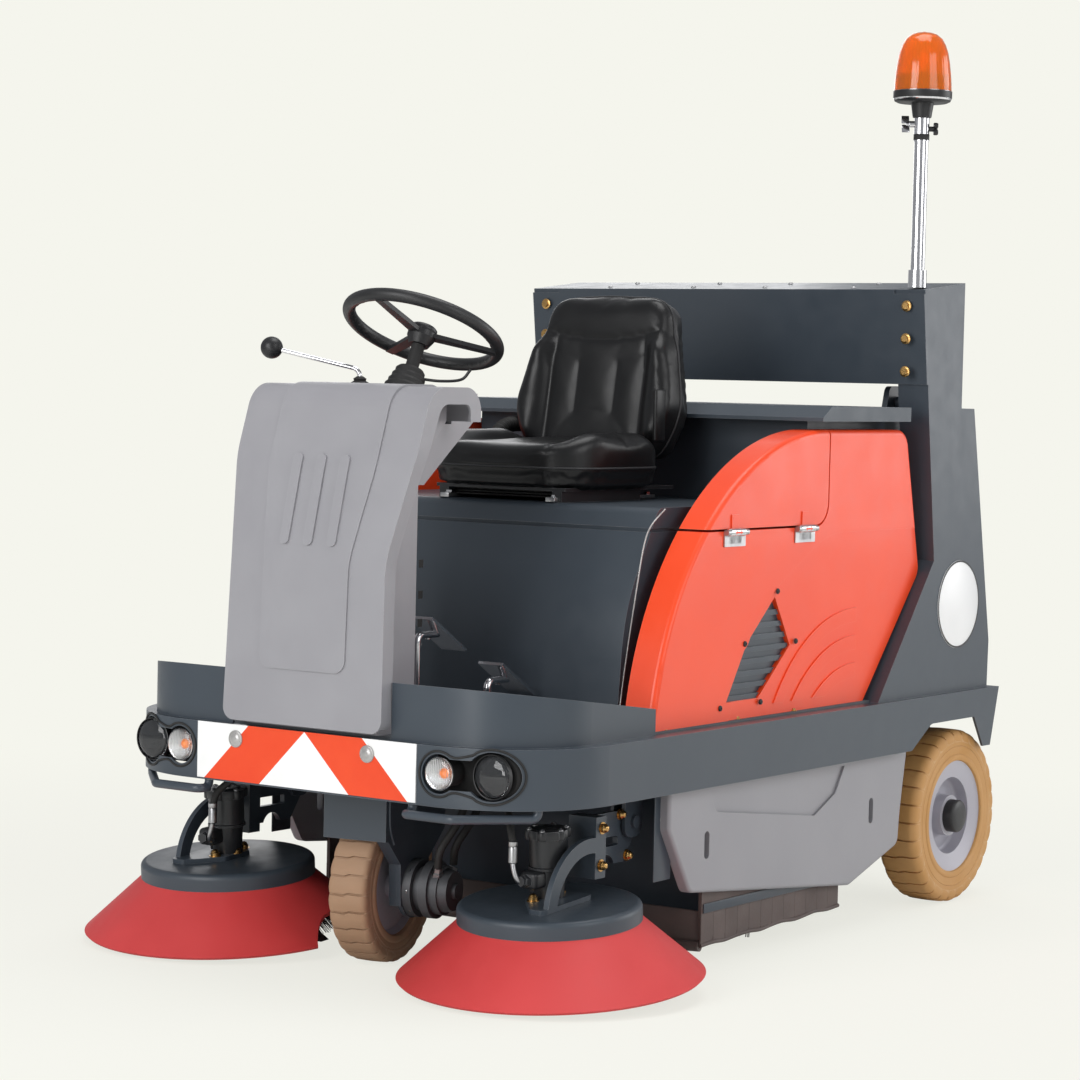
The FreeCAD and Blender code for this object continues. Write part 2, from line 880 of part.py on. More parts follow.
floor = new_body("deck_floor")
floor_half = "beam_half-wall_inset-wall_thick-seat_gap"
floor_tail = "portal_half-post_width-seat_gap"
floor_front = "beam_front_x-wall_inset/2-wall_thick-seat_gap"
floor_round = "beam_round-wall_inset-wall_thick-seat_gap"
extrude(floor, "XY", "beam_top", "floor_thick", [[
    ("floor_rear_x", "-(%s)" % floor_tail),
    ("post_foot_front_x+seat_gap", "-(%s)" % floor_tail),
    ("post_foot_front_x+seat_gap", "-(%s)" % floor_half),
    (floor_front, "-(%s)" % floor_half, floor_round),
    (floor_front, floor_half, floor_round),
    ("post_foot_front_x+seat_gap", floor_half),
    ("post_foot_front_x+seat_gap", floor_tail),
    ("floor_rear_x", floor_tail),
]])
keep(floor)

# Chassis: two rails above the rear wheels, cross members, the plate that
# carries the fork's slewing bearing and the brackets of the rear axles

frame = new_body("chassis_frame")
rail_top = "beam_top"
rail_low = "beam_top-rail_height"
rail_inner = "rail_outer_y-rail_width"


def block(body, x_from, x_to, y_from, y_to, z_from, z_to):
    """Rectangular member between six formulas."""
    return extrude(body, "XY", z_from, "%s-(%s)" % (z_to, z_from), [[
        (x_from, y_from),
        (x_to, y_from),
        (x_to, y_to),
        (x_from, y_to),
    ]])


block(frame, "cross_mid_x", "cross_mid_x+cross_width", "-rail_outer_y", "rail_outer_y", rail_low, rail_top)
block(frame, "rail_rear_x", "rail_bend_x", rail_inner, "rail_outer_y", rail_low, rail_top)
block(frame, "rail_rear_x", "rail_bend_x", "-rail_outer_y", "-(%s)" % rail_inner, rail_low, rail_top)
block(frame, "cross_rear_x", "cross_rear_x+cross_width", "-rail_outer_y", "rail_outer_y", rail_low, rail_top)
block(frame, "rail_bend_x-rail_width", "rail_front_x",
      rail_inner + "-rail_width", rail_inner, rail_low, rail_top)
block(frame, "rail_bend_x-rail_width", "rail_front_x", "-(%s)" % rail_inner, "rail_width-(%s)" % rail_inner,
      rail_low, rail_top)
block(frame, "rail_front_x-cross_width", "rail_front_x",
      "-(%s)" % rail_inner, rail_inner, rail_low, rail_top)
block(frame, "front_axle_x-head_plate_half", "front_axle_x+head_plate_half",
      "-(%s)" % rail_inner, rail_inner, rail_top + "-2*bracket_thick", rail_top)
block(frame, "front_axle_x-bearing_radius", "front_axle_x+bearing_radius",
      "-bearing_radius", "bearing_radius", "fork_head_top+bearing_height", rail_top)
extrude(frame, "XY", "fork_head_top+seat_gap", "bearing_height",
        circles=[("front_axle_x", "0", "bearing_radius")])
extrude(frame, "XY", "fork_head_top", "bearing_height",
        circles=[("front_axle_x", "0", "bearing_bore")], cut=True)
for sign in ("", "-"):
    near = "bracket_inner_y" if sign == "" else "-bracket_inner_y-bracket_thick"
    extrude(frame, "XZ", near, "bracket_thick", [[
        ("rear_axle_x-bracket_top_half", rail_low + "+gusset_thick"),
        ("rear_axle_x-bracket_foot_half", "rear_tyre_radius-bracket_foot_drop", "gusset_thick"),
        ("rear_axle_x+bracket_foot_half", "rear_tyre_radius-bracket_foot_drop", "gusset_thick"),
        ("rear_axle_x+bracket_top_half", rail_low + "+gusset_thick"),
    ]])
    edge = "bracket_inner_y+bracket_thick/2" if sign == "" else "-(%s)-gusset_thick/2" % rail_inner
    block(frame, "rear_axle_x-bracket_top_half", "rear_axle_x+bracket_top_half", edge,
          "%s+(%s)-bracket_inner_y-bracket_thick/2+gusset_thick/2" % (edge, rail_inner),
          rail_low, rail_low + "+gusset_thick")
    middle = sign + "arm_y"
    block(frame, "arm_pivot_x-arm_cheek_half", "arm_pivot_x+arm_cheek_half",
          "-rail_outer_y" if sign else "arm_y-arm_thick/2-arm_cheek_gap-arm_cheek_thick",
          "-arm_y+arm_thick/2+arm_cheek_gap+arm_cheek_thick" if sign else "rail_outer_y",
          rail_low + "-bracket_thick", rail_low)
    for edge in ("%s-arm_thick/2-arm_cheek_gap-arm_cheek_thick" % middle,
                 "%s+arm_thick/2+arm_cheek_gap" % middle):
        extrude(frame, "XZ", edge, "arm_cheek_thick", [[
            ("arm_pivot_x-arm_cheek_half", rail_low),
            ("arm_pivot_x-arm_cheek_half", "arm_pivot_z-arm_cheek_half", "arm_half"),
            ("arm_pivot_x+arm_cheek_half", "arm_pivot_z-arm_cheek_half", "arm_half"),
            ("arm_pivot_x+arm_cheek_half", rail_low),
        ]])
extrude(frame, "XZ", "-rail_outer_y", "2*rail_outer_y",
        circles=[("arm_pivot_x", "arm_pivot_z", "arm_pin+axle_clearance")], cut=True)
keep(frame)

# Wheels


def tyre_section(width, radius, bead, drop, shoulder):
    """Half section of a solid tyre, as (across, out) corners."""
    half = "%s/2" % width
    return [
        ("-(%s)" % half, bead),
        ("-(%s)" % half, "%s-%s" % (radius, drop), shoulder),
        ("-(%s)+%s" % (half, shoulder), radius),
        ("%s-%s" % (half, shoulder), radius),
        (half, "%s-%s" % (radius, drop), shoulder),
        (half, bead),
    ]


rear_hub_y = "rear_tyre_outer_y-rear_tyre_width/2"
rear_tyre = new_body("rear_tyre_left")
revolve(rear_tyre, "YZ", tyre_section(
    "rear_tyre_width", "rear_tyre_radius", "rim_radius", "rear_shoulder_drop", "rear_shoulder_width"))
place(rear_tyre, "rear_axle_x", rear_hub_y, "rear_tyre_radius")
keep(rear_tyre, mirrored(rear_tyre, "rear_tyre_right"))

rear_rim = new_body("rear_rim_left")
bore = "axle_radius+axle_clearance"
rim_face = "rear_tyre_width/2-rim_face_inset"
rim_back = "rear_tyre_width/2-rim_face_inset-rim_dish_depth"
revolve(rear_rim, "YZ", [
    ("-rear_tyre_width/2+rim_face_inset", bore),
    ("rear_tyre_width/2+hub_cap_proud", bore),
    ("rear_tyre_width/2+hub_cap_proud", "hub_cap_radius"),
    (rim_face, "hub_cap_radius"),
    (rim_face, "hub_radius"),
    (rim_back, "hub_radius", "rim_bead_depth"),
    (rim_back, "rim_radius-rim_face_width", "rim_bead_depth"),
    (rim_face, "rim_radius-rim_face_width"),
    (rim_face + "+rim_bead_depth", "rim_radius"),
    ("-rear_tyre_width/2+rim_face_inset", "rim_radius"),
    ("-rear_tyre_width/2+rim_face_inset", "rim_radius-rim_web_thick"),
    (rim_back + "-rim_web_thick", "rim_radius-rim_web_thick", "rim_bead_depth"),
    (rim_back + "-rim_web_thick", "hub_radius", "rim_bead_depth"),
    ("-rear_tyre_width/2+rim_face_inset", "hub_radius"),
])
place(rear_rim, "rear_axle_x", rear_hub_y, "rear_tyre_radius")
keep(rear_rim, mirrored(rear_rim, "rear_rim_right"))

axle = cylinder("rear_stub_axle_left", "axle_radius",
                "rear_tyre_outer_y-bracket_inner_y-bracket_thick-hub_cap_proud")
place(axle, "rear_axle_x", "rear_tyre_outer_y-hub_cap_proud", "rear_tyre_radius", Vector(1, 0, 0), "90")
keep(together("rear_stub_axles", [axle, mirrored(axle, "rear_stub_axle_right")]))

# Front wheel, fork and hub motor, modelled about the steering axis and then
# turned to the angle at which the machine is parked


def park(item):
    place(item, "front_axle_x", "0", "0", Vector(0, 0, 1), "steer_parked")


front_mid = "front_wheel_shift"
front_tyre = new_body("front_tyre")
revolve(front_tyre, "YZ", tyre_section(
    "front_tyre_width", "front_tyre_radius", "front_rim_radius",
    "front_shoulder_drop", "front_shoulder_width"))
place(front_tyre, "front_axle_x-%s*sin(steer_parked*1deg)" % front_mid,
      "%s*cos(steer_parked*1deg)" % front_mid, "front_tyre_radius", Vector(0, 0, 1), "steer_parked")
front_rim = new_body("front_rim")
revolve(front_rim, "YZ", [
    ("-front_tyre_width/2+front_rim_recess/2", "0"),
    ("-front_tyre_width/2+front_rim_recess/2", "front_hub_radius"),
    ("-front_tyre_width/2+front_rim_recess", "front_hub_radius+fork_plate"),
    ("-front_tyre_width/2+front_rim_recess", "front_rim_radius-fork_plate"),
    ("-front_tyre_width/2+front_rim_recess/2", "front_rim_radius"),
    ("front_tyre_width/2-front_rim_recess/2", "front_rim_radius"),
    ("front_tyre_width/2-front_rim_recess", "front_rim_radius-fork_plate"),
    ("front_tyre_width/2-front_rim_recess", "axle_radius+fork_plate"),
    ("front_tyre_width/2+fork_plate/2", "axle_radius+fork_plate"),
    ("front_tyre_width/2+fork_plate/2", bore),
    ("front_tyre_width/2+fork_plate/2-spindle_depth", bore),
    ("front_tyre_width/2+fork_plate/2-spindle_depth", "0"),
])
place(front_rim, "front_axle_x-%s*sin(steer_parked*1deg)" % front_mid,
      "%s*cos(steer_parked*1deg)" % front_mid, "front_tyre_radius", Vector(0, 0, 1), "steer_parked")
keep(front_tyre, front_rim)

fork = new_body("steering_fork")
extrude(fork, "XY", "fork_head_top-fork_plate", "fork_plate", [[
    ("-fork_rear", "fork_right_y"),
    ("fork_front", "fork_right_y"),
    ("fork_front", "fork_left_y"),
    ("-fork_rear", "fork_left_y"),
]])
extrude(fork, "XZ", "fork_left_y-fork_plate", "fork_plate", [[
    ("-fork_rear", "fork_head_top"),
    ("-fork_rear", "fork_head_low"),
    ("-fork_leg_round", "fork_leg_mid_z"),
    ("-fork_leg_round", "front_tyre_radius-fork_leg_round", "fork_leg_round-1"),
    ("fork_leg_round", "front_tyre_radius-fork_leg_round", "fork_leg_round-1"),
    ("fork_leg_mid_x", "fork_leg_mid_z"),
    ("fork_front", "fork_head_low+fork_plate"),
    ("fork_front", "fork_head_top"),
]])
extrude(fork, "YZ", "fork_front-fork_plate", "fork_plate", [[
    ("fork_right_y", "fork_head_low"),
    ("fork_left_y", "fork_head_low"),
    ("fork_left_y", "fork_head_top"),
    ("fork_right_y", "fork_head_top"),
]])
extrude(fork, "XZ", "fork_left_y-fork_flange", "fork_flange", [[
    ("fork_front", "fork_head_low+fork_plate"),
    ("fork_front-fork_plate", "fork_head_low+fork_plate"),
    ("fork_leg_mid_x-fork_plate", "fork_leg_mid_z"),
    ("fork_leg_round-fork_plate", "front_tyre_radius-fork_leg_round/2"),
    ("fork_leg_round", "front_tyre_radius-fork_leg_round/2"),
    ("fork_leg_mid_x", "fork_leg_mid_z"),
]])
extrude(fork, "XZ", "fork_left_y-2*fork_plate", "3*fork_plate",
        circles=[("0", "front_tyre_radius", "axle_radius+axle_clearance")], cut=True)
extrude(fork, "XY", "fork_head_top", "bearing_height-fork_plate/2",
        circles=[("0", "0", "bearing_bore-axle_clearance")])
park(fork)

motor = new_body("drive_motor")
motor_start = "fork_left_y"
spindle_end = "front_wheel_shift+front_tyre_width/2+fork_plate/2-spindle_depth+fork_plate/10"
revolve(motor, "YZ", [
    (spindle_end, "0"),
    (spindle_end, "axle_radius"),
    (motor_start, "axle_radius"),
    (motor_start, "motor_radius"),
    (motor_start + "+motor_length/5", "motor_radius"),
    (motor_start + "+motor_length/5", "motor_neck_radius"),
    (motor_start + "+2*motor_length/5", "motor_neck_radius"),
    (motor_start + "+2*motor_length/5", "motor_radius"),
    (motor_start + "+3*motor_length/5", "motor_radius"),
    (motor_start + "+3*motor_length/5", "motor_neck_radius+fork_plate/2"),
    (motor_start + "+4*motor_length/5", "motor_neck_radius+fork_plate/2"),
    (motor_start + "+4*motor_length/5", "motor_neck_radius"),
    (motor_start + "+motor_length", "motor_neck_radius-fork_plate/2"),
    (motor_start + "+motor_length", "motor_cap_radius"),
    (motor_start + "+motor_length+motor_cap_radius/2", "motor_cap_radius"),
    (motor_start + "+motor_length+motor_cap_radius/2", "0"),
])
place(motor, "front_axle_x", "0", "front_tyre_radius", Vector(0, 0, 1), "steer_parked")
keep(fork, motor)

# Front fairing: a moulded tray that rolls back over the console, with a
# raised centre panel and three ribs


def fairing_strip(depth, proud="0"):
    """Side outline of a strip that follows the fairing, depth thick."""
    outer = "+(%s)" % proud
    inner = "-(%s)" % depth
    return [
        ("fairing_front_x" + outer, "fairing_low"),
        ("fairing_waist_x" + outer, "fairing_waist_z", "fairing_waist_round"),
        ("fairing_neck_x" + outer, "fairing_neck_z", "fairing_neck_round"),
        ("fairing_brow_x" + outer, "fairing_crown_z" + outer, "fairing_brow_round"),
        ("fairing_lip_x-(%s)" % proud, "fairing_crown_z" + outer, "fairing_lip_round"),
        ("fairing_lip_x-(%s)" % proud, "fairing_lip_z"),
        ("fairing_lip_x+(%s)" % depth, "fairing_lip_z"),
        ("fairing_lip_x+(%s)" % depth, "fairing_crown_z" + inner, "fairing_lip_round-(%s)" % depth),
        ("fairing_brow_x" + inner, "fairing_crown_z" + inner, "fairing_brow_round-(%s)" % depth),
        ("fairing_neck_x" + inner, "fairing_neck_z", "fairing_neck_round"),
        ("fairing_waist_x" + inner, "fairing_waist_z", "fairing_waist_round"),
        ("fairing_front_x" + inner, "fairing_low"),
    ]


def fairing_front(inset, low):
    """Front outline of the fairing, inset all round."""
    sides = []
    for half, z, bend in (
            ("fairing_half", low, "fairing_foot_round"),
            ("fairing_waist_half", "fairing_waist_z", "fairing_waist_round"),
            ("fairing_top_half", "fairing_neck_z+fairing_foot_round", "fairing_neck_round")):
        sides.append(("%s-(%s)" % (half, inset), z, bend))
    sides.append(("fairing_top_half-(%s)" % inset, "fairing_crown_z+cut_margin"))
    return sides + [("-(%s)" % corner[0],) + corner[1:] for corner in reversed(sides)]


def common(label, first, second):
    item = doc.addObject("Part::Common", label)
    item.Label = label
    item.Base = first
    item.Tool = second
    return item


def fairing_piece(label, depth, proud, front):
    """The part of a strip that lies inside a front outline."""
    strip = new_body(label + "_strip")
    extrude(strip, "XZ", "-fairing_top_half-cut_margin", "2*(fairing_top_half+cut_margin)",
            [fairing_strip(depth, proud)])
    mask = new_body(label + "_mask")
    extrude(mask, "YZ", "fairing_lip_x-cut_margin", "fairing_front_x-fairing_lip_x+2*cut_margin", front)
    return common(label, strip, mask)


fairing_outer = fairing_piece("fairing_outer", "fairing_return", "0", [fairing_front("0", "fairing_low")])
fairing_inner_strip = new_body("fairing_inner_strip")
extrude(fairing_inner_strip, "XZ", "-fairing_top_half", "2*fairing_top_half", [[
    ("fairing_front_x-fairing_thick", "fairing_low-cut_margin"),
    ("fairing_waist_x-fairing_thick", "fairing_waist_z", "fairing_waist_round"),
    ("fairing_neck_x-fairing_thick", "fairing_neck_z", "fairing_neck_round"),
    ("fairing_brow_x-fairing_thick", "fairing_crown_z-fairing_thick", "fairing_brow_round-fairing_thick"),
    ("fairing_lip_x+fairing_thick", "fairing_crown_z-fairing_thick", "fairing_lip_round-fairing_thick"),
    ("fairing_lip_x+fairing_thick", "fairing_lip_z-cut_margin"),
    ("fairing_brow_x-2*fairing_return", "fairing_lip_z-cut_margin"),
    ("fairing_waist_x-2*fairing_return", "fairing_low-cut_margin"),
]])
fairing_inner_mask = new_body("fairing_inner_mask")
extrude(fairing_inner_mask, "YZ", "fairing_lip_x-cut_margin", "fairing_front_x-fairing_lip_x+2*cut_margin",
        [fairing_front("fairing_thick", "fairing_low-cut_margin")])
fairing_hollow = common("fairing_hollow", fairing_inner_strip, fairing_inner_mask)
fairing_shell = doc.addObject("Part::Cut", "fairing_shell")
fairing_shell.Base = fairing_outer
fairing_shell.Tool = fairing_hollow
fairing_panel = fairing_piece("fairing_panel", "fairing_thick/2", "fairing_panel_proud", [[
    ("-fairing_panel_half", "fairing_panel_low", "fairing_foot_round"),
    ("fairing_panel_half", "fairing_panel_low", "fairing_foot_round"),
    ("fairing_panel_half", "fairing_waist_z", "fairing_neck_round"),
    ("fairing_panel_top_half", "fairing_neck_z", "fairing_neck_round"),
    ("fairing_panel_top_half", "fairing_crown_z+cut_margin"),
    ("-fairing_panel_top_half", "fairing_crown_z+cut_margin"),
    ("-fairing_panel_top_half", "fairing_neck_z", "fairing_neck_round"),
    ("-fairing_panel_half", "fairing_waist_z", "fairing_neck_round"),
]])
rib_round = "fairing_rib_half-0.5"
fairing_ribs = []
for number, middle in enumerate(("-fairing_rib_y", "0", "fairing_rib_y"), 1):
    fairing_ribs.append(fairing_piece("fairing_rib_%d" % number, "fairing_thick/2", "fairing_rib_proud", [[
        (middle + "-fairing_rib_half", "fairing_rib_low", rib_round),
        (middle + "+fairing_rib_half", "fairing_rib_low", rib_round),
        (middle + "+fairing_rib_half", "fairing_rib_top", rib_round),
        (middle + "-fairing_rib_half", "fairing_rib_top", rib_round),
    ]]))
keep(fused("front_fairing", [fairing_shell, fairing_panel] + fairing_ribs))

# Steering console under the fairing, with the tower of the column

console = new_body("steering_console")
inset = "-fairing_return-seat_gap"
extrude(console, "XZ", "-console_half", "2*console_half", [[
    ("console_rear_x", "beam_top+floor_thick"),
    ("console_rear_x", "console_waist_z"),
    ("fairing_lip_x+fairing_return+seat_gap", "fairing_lip_z"),
    ("fairing_lip_x+fairing_return+seat_gap", "fairing_crown_z" + inset),
    ("fairing_brow_x" + inset, "fairing_crown_z" + inset, "fairing_brow_round-fairing_return"),
    ("fairing_neck_x" + inset, "fairing_neck_z", "fairing_neck_round"),
    ("fairing_waist_x" + inset, "fairing_waist_z", "fairing_waist_round"),
    ("fairing_front_x" + inset, "beam_top+floor_thick"),
]])
extrude(console, "XZ", "-tower_half", "2*tower_half", [[
    ("console_rear_x+cut_margin", "tower_root_z"),
    ("console_rear_x-cut_margin", "tower_root_z"),
    ("tower_rear_x", "tower_low"),
    ("tower_rear_x", "tower_top"),
    ("fairing_lip_x-fairing_panel_proud-seat_gap", "tower_top"),
    ("fairing_lip_x-fairing_panel_proud-seat_gap", "fairing_lip_z-fairing_thick"),
    ("console_rear_x+cut_margin", "fairing_lip_z-fairing_thick"),
]])
keep(console)

# Column with its bellows, steering wheel, and the lever beside it

column_whole = new_body("column_and_boot")
fold = "boot_height/boot_folds"
boot_profile = [("0", "-boot_radius"), ("boot_radius", "-boot_radius"), ("boot_radius", "0")]
for turn in range(int(DIMS["boot_folds"])):
    out = "boot_radius-(boot_radius-boot_top_radius)*%d/boot_folds" % turn
    boot_profile.append((out, "%s*%d+%s*0.6" % (fold, turn, fold)))
    boot_profile.append((out + "-boot_height/12", "%s*%d" % (fold, turn + 1)))
boot_profile += [("column_radius", "boot_height"),
                 ("column_radius", "steering_reach-steering_hub_height-wheel_gap"),
                 ("0", "steering_reach-steering_hub_height-wheel_gap")]
revolve(column_whole, "XZ", boot_profile, "V_Axis")
place(column_whole, "column_x", "0", "tower_top", Vector(0, 1, 0), "-column_tilt")
column_seat = new_body("column_seat")
block(column_seat, "column_x-4*boot_radius", "column_x+4*boot_radius", "-2*boot_radius", "2*boot_radius",
      "tower_top-3*boot_radius", "tower_top")
column = doc.addObject("Part::Cut", "steering_column")
column.Base = column_whole
column.Tool = column_seat
keep(column)

steering = new_body("steering_wheel")
hub_low = "-steering_hub_height"
revolve(steering, "XZ", [
    ("0", hub_low),
    ("steering_hub_radius*0.7", hub_low),
    ("steering_hub_radius", hub_low + "/2"),
    ("steering_hub_radius", "-steering_rim/2"),
    ("0", "-steering_rim/2"),
], "V_Axis")
spoke = extrude(steering, "XY", "-steering_rim/2-spoke_thick", "spoke_thick", [[
    ("steering_hub_radius/2", "-spoke_width/2"),
    ("steering_radius-steering_rim", "-spoke_width/3"),
    ("steering_radius-steering_rim", "spoke_width/3"),
    ("steering_hub_radius/2", "spoke_width/2"),
]])
around(steering, spoke, "3", "XY")
rim_sketch = sketch_on(steering, "XZ", "0")
add_circle(rim_sketch, "steering_radius-steering_rim", "0", "steering_rim")
rim_turn = steering.newObject("PartDesign::Revolution", "steering_wheel_rim")
rim_turn.Profile = rim_sketch
rim_turn.ReferenceAxis = (rim_sketch, ["V_Axis"])
rim_turn.Angle = 360
steering.Tip = rim_turn
place(steering, "column_x-steering_reach*sin(column_tilt*1deg)", "0",
      "tower_top+steering_reach*cos(column_tilt*1deg)", Vector(0, 1, 0), "-column_tilt")
keep(steering)

lever_foot = Vector(size("lever_x"), size("lever_y"), size("tower_top"))
lever_elbow = lever_foot + Vector(0, 0, size("lever_rise"))
lever_end = lever_foot + Vector(size("lever_out_x"), -size("lever_out_y"), size("lever_up"))
lever_rod = bent_tube("drive_lever_rod", [lever_foot, lever_elbow, lever_end],
                      size("lever_radius"), size("lever_bend"))
lever_knob = doc.addObject("Part::Sphere", "drive_lever_knob")
lever_knob.setExpression("Radius", bound("lever_knob"))
place(lever_knob, "lever_x+lever_out_x", "lever_y-lever_out_y", "tower_top+lever_up")
lever_boot = doc.addObject("Part::Cone", "drive_lever_boot")
lever_boot.setExpression("Radius1", bound("lever_boot_radius"))
lever_boot.setExpression("Radius2", bound("lever_radius*2"))
lever_boot.setExpression("Height", bound("lever_boot_height"))
place(lever_boot, "lever_x", "lever_y", "tower_top")
keep(fused("drive_lever", [lever_rod, lever_knob, lever_boot]))

# Engine cover, open below, that carries the seat, and the engine inside it

cover = new_body("engine_cover")


def cover_outline(inset, low):
    """Side outline of the cover, inset by its wall."""
    return [
        ("cover_rear_x+(%s)" % inset, low),
        ("cover_rear_x+(%s)" % inset, "cover_top-(%s)" % inset),
        ("cover_front_top_x-(%s)" % inset, "cover_top-(%s)" % inset, "cover_edge-(%s)" % inset),
        ("cover_front_mid_x-(%s)" % inset, "cover_front_mid_z", "cover_front_round"),
        ("cover_front_foot_x-(%s)" % inset, low),
    ]


deck_top = "beam_top+floor_thick"
extrude(cover, "XZ", "-cover_half", "2*cover_half", [cover_outline("0", deck_top)])
extrude(cover, "XZ", "-cover_half+cover_wall", "2*(cover_half-cover_wall)",
        [cover_outline("cover_wall", deck_top + "-cut_margin")], cut=True)
seam_front = "cover_front_top_x-cover_seam_depth+(cover_top-cover_seam_z)" \
    "*(cover_front_mid_x-cover_front_top_x)/(cover_top-cover_front_mid_z)"
extrude(cover, "XY", "cover_seam_z", "cover_seam", [[
    ("cover_rear_x-cut_margin", "-cover_half-cut_margin"),
    (seam_front + "+cut_margin", "-cover_half-cut_margin"),
    (seam_front + "+cut_margin", "cover_half+cut_margin"),
    ("cover_rear_x-cut_margin", "cover_half+cut_margin"),
], [
    ("cover_rear_x+cover_seam_depth", "-cover_half+cover_seam_depth"),
    (seam_front, "-cover_half+cover_seam_depth"),
    (seam_front, "cover_half-cover_seam_depth"),
    ("cover_rear_x+cover_seam_depth", "cover_half-cover_seam_depth"),
]], cut=True)
keep(cover)

engine = new_body("engine_block")
block(engine, "engine_rear_x", "engine_front_x", "-engine_half", "engine_half", deck_top, "engine_top")
keep(engine)

# Seat on its slide rails, with the plate that holds the back

FACE_NEAR = 0.01


def outer_edges(shape, axis, value):
    """Names of the edges that lie in the flat face at value on axis."""
    names = []
    for number, edge in enumerate(shape.Edges, 1):
        low = getattr(edge.BoundBox, axis + "Min")
        high = getattr(edge.BoundBox, axis + "Max")
        if abs(low - value) < FACE_NEAR and abs(high - value) < FACE_NEAR:
            names.append("Edge%d" % number)
    return names


def round_edges(body, axis, value, radius):
    """Round the rim of the flat face at value on the body's own axis."""
    last = body.Tip
    fillet = body.newObject("PartDesign::Fillet", body.Name + "_round")
    fillet.Base = (last, outer_edges(last.Shape, axis, size(value)))
    fillet.setExpression("Radius", bound(radius))
    body.Tip = fillet
    doc.recompute()
    return fillet


slide = new_body("seat_slide")
for side in ("", "-"):
    block(slide, "seat_x-cushion_length/2+rail_bar", "seat_x+cushion_length/2-rail_bar",
          side + "rail_gauge/2-rail_bar/2", side + "rail_gauge/2+rail_bar/2",
          "cover_top", "cushion_low-seat_gap-seat_pan_thick")
    if side == "":
        block(slide, "seat_pan_rear_x", "seat_x+cushion_length/2-rail_bar",
              "-seat_pan_half", "seat_pan_half",
              "cushion_low-seat_gap-seat_pan_thick", "cushion_low-seat_gap")
spine = new_body("seat_spine_plate")
block(spine, "-seat_back_thick/2-seat_gap-seat_spine_thick", "-seat_back_thick/2-seat_gap",
      "-seat_spine/2", "seat_spine/2", "-seat_spine_drop", "seat_spine_top")
place(spine, "seat_back_x", "0", "seat_back_low", Vector(0, 1, 0), "-seat_back_lean")
keep(fused("seat_frame", [slide, spine]))

cushion = new_body("seat_cushion")
extrude(cushion, "XY", "0", "cushion_thick", [[
    ("-cushion_length/2", "-cushion_width/2", "cushion_round/2"),
    ("cushion_length/2", "-cushion_width/2", "cushion_round"),
    ("cushion_length/2", "cushion_width/2", "cushion_round"),
    ("-cushion_length/2", "cushion_width/2", "cushion_round/2"),
]])
round_edges(cushion, "Z", "cushion_thick", "cushion_edge")
place(cushion, "seat_x", "0", "cushion_low")
keep(cushion)

back = new_body("seat_back")
back_half = "seat_back_width/2"
extrude(back, "YZ", "-seat_back_thick/2", "seat_back_thick", [[
    ("-%s*0.8" % back_half, "0", "seat_back_round/2"),
    ("%s*0.8" % back_half, "0", "seat_back_round/2"),
    (back_half, "seat_back_height*0.3", "seat_back_round"),
    ("%s*0.72" % back_half, "seat_back_height", "seat_back_round/2"),
    ("-%s*0.72" % back_half, "seat_back_height", "seat_back_round/2"),
    ("-" + back_half, "seat_back_height*0.3", "seat_back_round"),
]])
round_edges(back, "X", "seat_back_thick/2", "seat_back_edge")
place(back, "seat_back_x", "0", "seat_back_low", Vector(0, 1, 0), "-seat_back_lean")
keep(back)

# Orange side covers and the flap hinged on each one's upper front edge

side_root = "side_top-side_sweep-cut_margin"
side_far = "side_front_x+cut_margin"


def side_mould(label):
    """The whole moulding, sweeping on below the deck until it is cut."""
    body = new_body(label)
    extrude(body, "XZ", "side_outer_y-side_thick", "side_thick", [[
        ("side_foot_x+(side_low-(%s))*(side_foot_x-side_waist_x)/(side_waist_z-side_low)" % side_root,
         side_root),
        ("side_front_x", side_root),
        ("side_front_x", "side_top", "side_sweep"),
        ("side_top_rear_x", "side_top", "side_top_round"),
        ("side_waist_x", "side_waist_z", "side_waist_round"),
    ]])
    round_edges(body, "Y", "side_outer_y", "side_edge")
    return body


side_cover = side_mould("side_cover_left")
extrude(side_cover, "XZ", "0", "side_outer_y+cut_margin", [[
    ("side_waist_x-cut_margin", side_root + "-cut_margin"),
    (side_far, side_root + "-cut_margin"),
    (side_far, deck_top),
    ("side_waist_x-cut_margin", deck_top),
]], cut=True)
extrude(side_cover, "XZ", "0", "side_outer_y+cut_margin", [[
    ("flap_rear_x-flap_gap", "flap_low-flap_gap", "flap_round+flap_gap"),
    (side_far, "flap_low-flap_gap"),
    (side_far, "side_top+cut_margin"),
    ("flap_rear_x-flap_gap", "side_top+cut_margin"),
]], cut=True)
louvre_outline = [
    ("louvre_top_x", "louvre_top_z"),
    ("louvre_rear_x", "louvre_rear_z"),
    ("louvre_foot_rear_x", "louvre_foot_z"),
    ("louvre_foot_front_x", "louvre_foot_z"),
    ("louvre_mid_x", "louvre_rear_z"),
]
extrude(side_cover, "XZ", "side_outer_y-louvre_depth", "louvre_depth+cut_margin", [louvre_outline], cut=True)
extrude(side_cover, "XZ", "side_outer_y-crease_depth", "cut_margin", [[
    ("side_waist_x-cut_margin", "crease_top_z"),
    ("crease_bend_x", "crease_top_z", "crease_bend_round"),
    ("crease_knee_x", "crease_knee_z", "crease_knee_round"),
    ("crease_foot_x", side_root),
    ("side_waist_x-cut_margin", side_root),
]], cut=True)
arcs_area = new_body("cover_arcs_area")
block(arcs_area, "arc_x", "crease_foot_x", "side_outer_y-2*crease_depth",
      "side_outer_y-crease_depth+arc_proud", "arc_low", "crease_top_z")
arcs = new_body("cover_arcs")
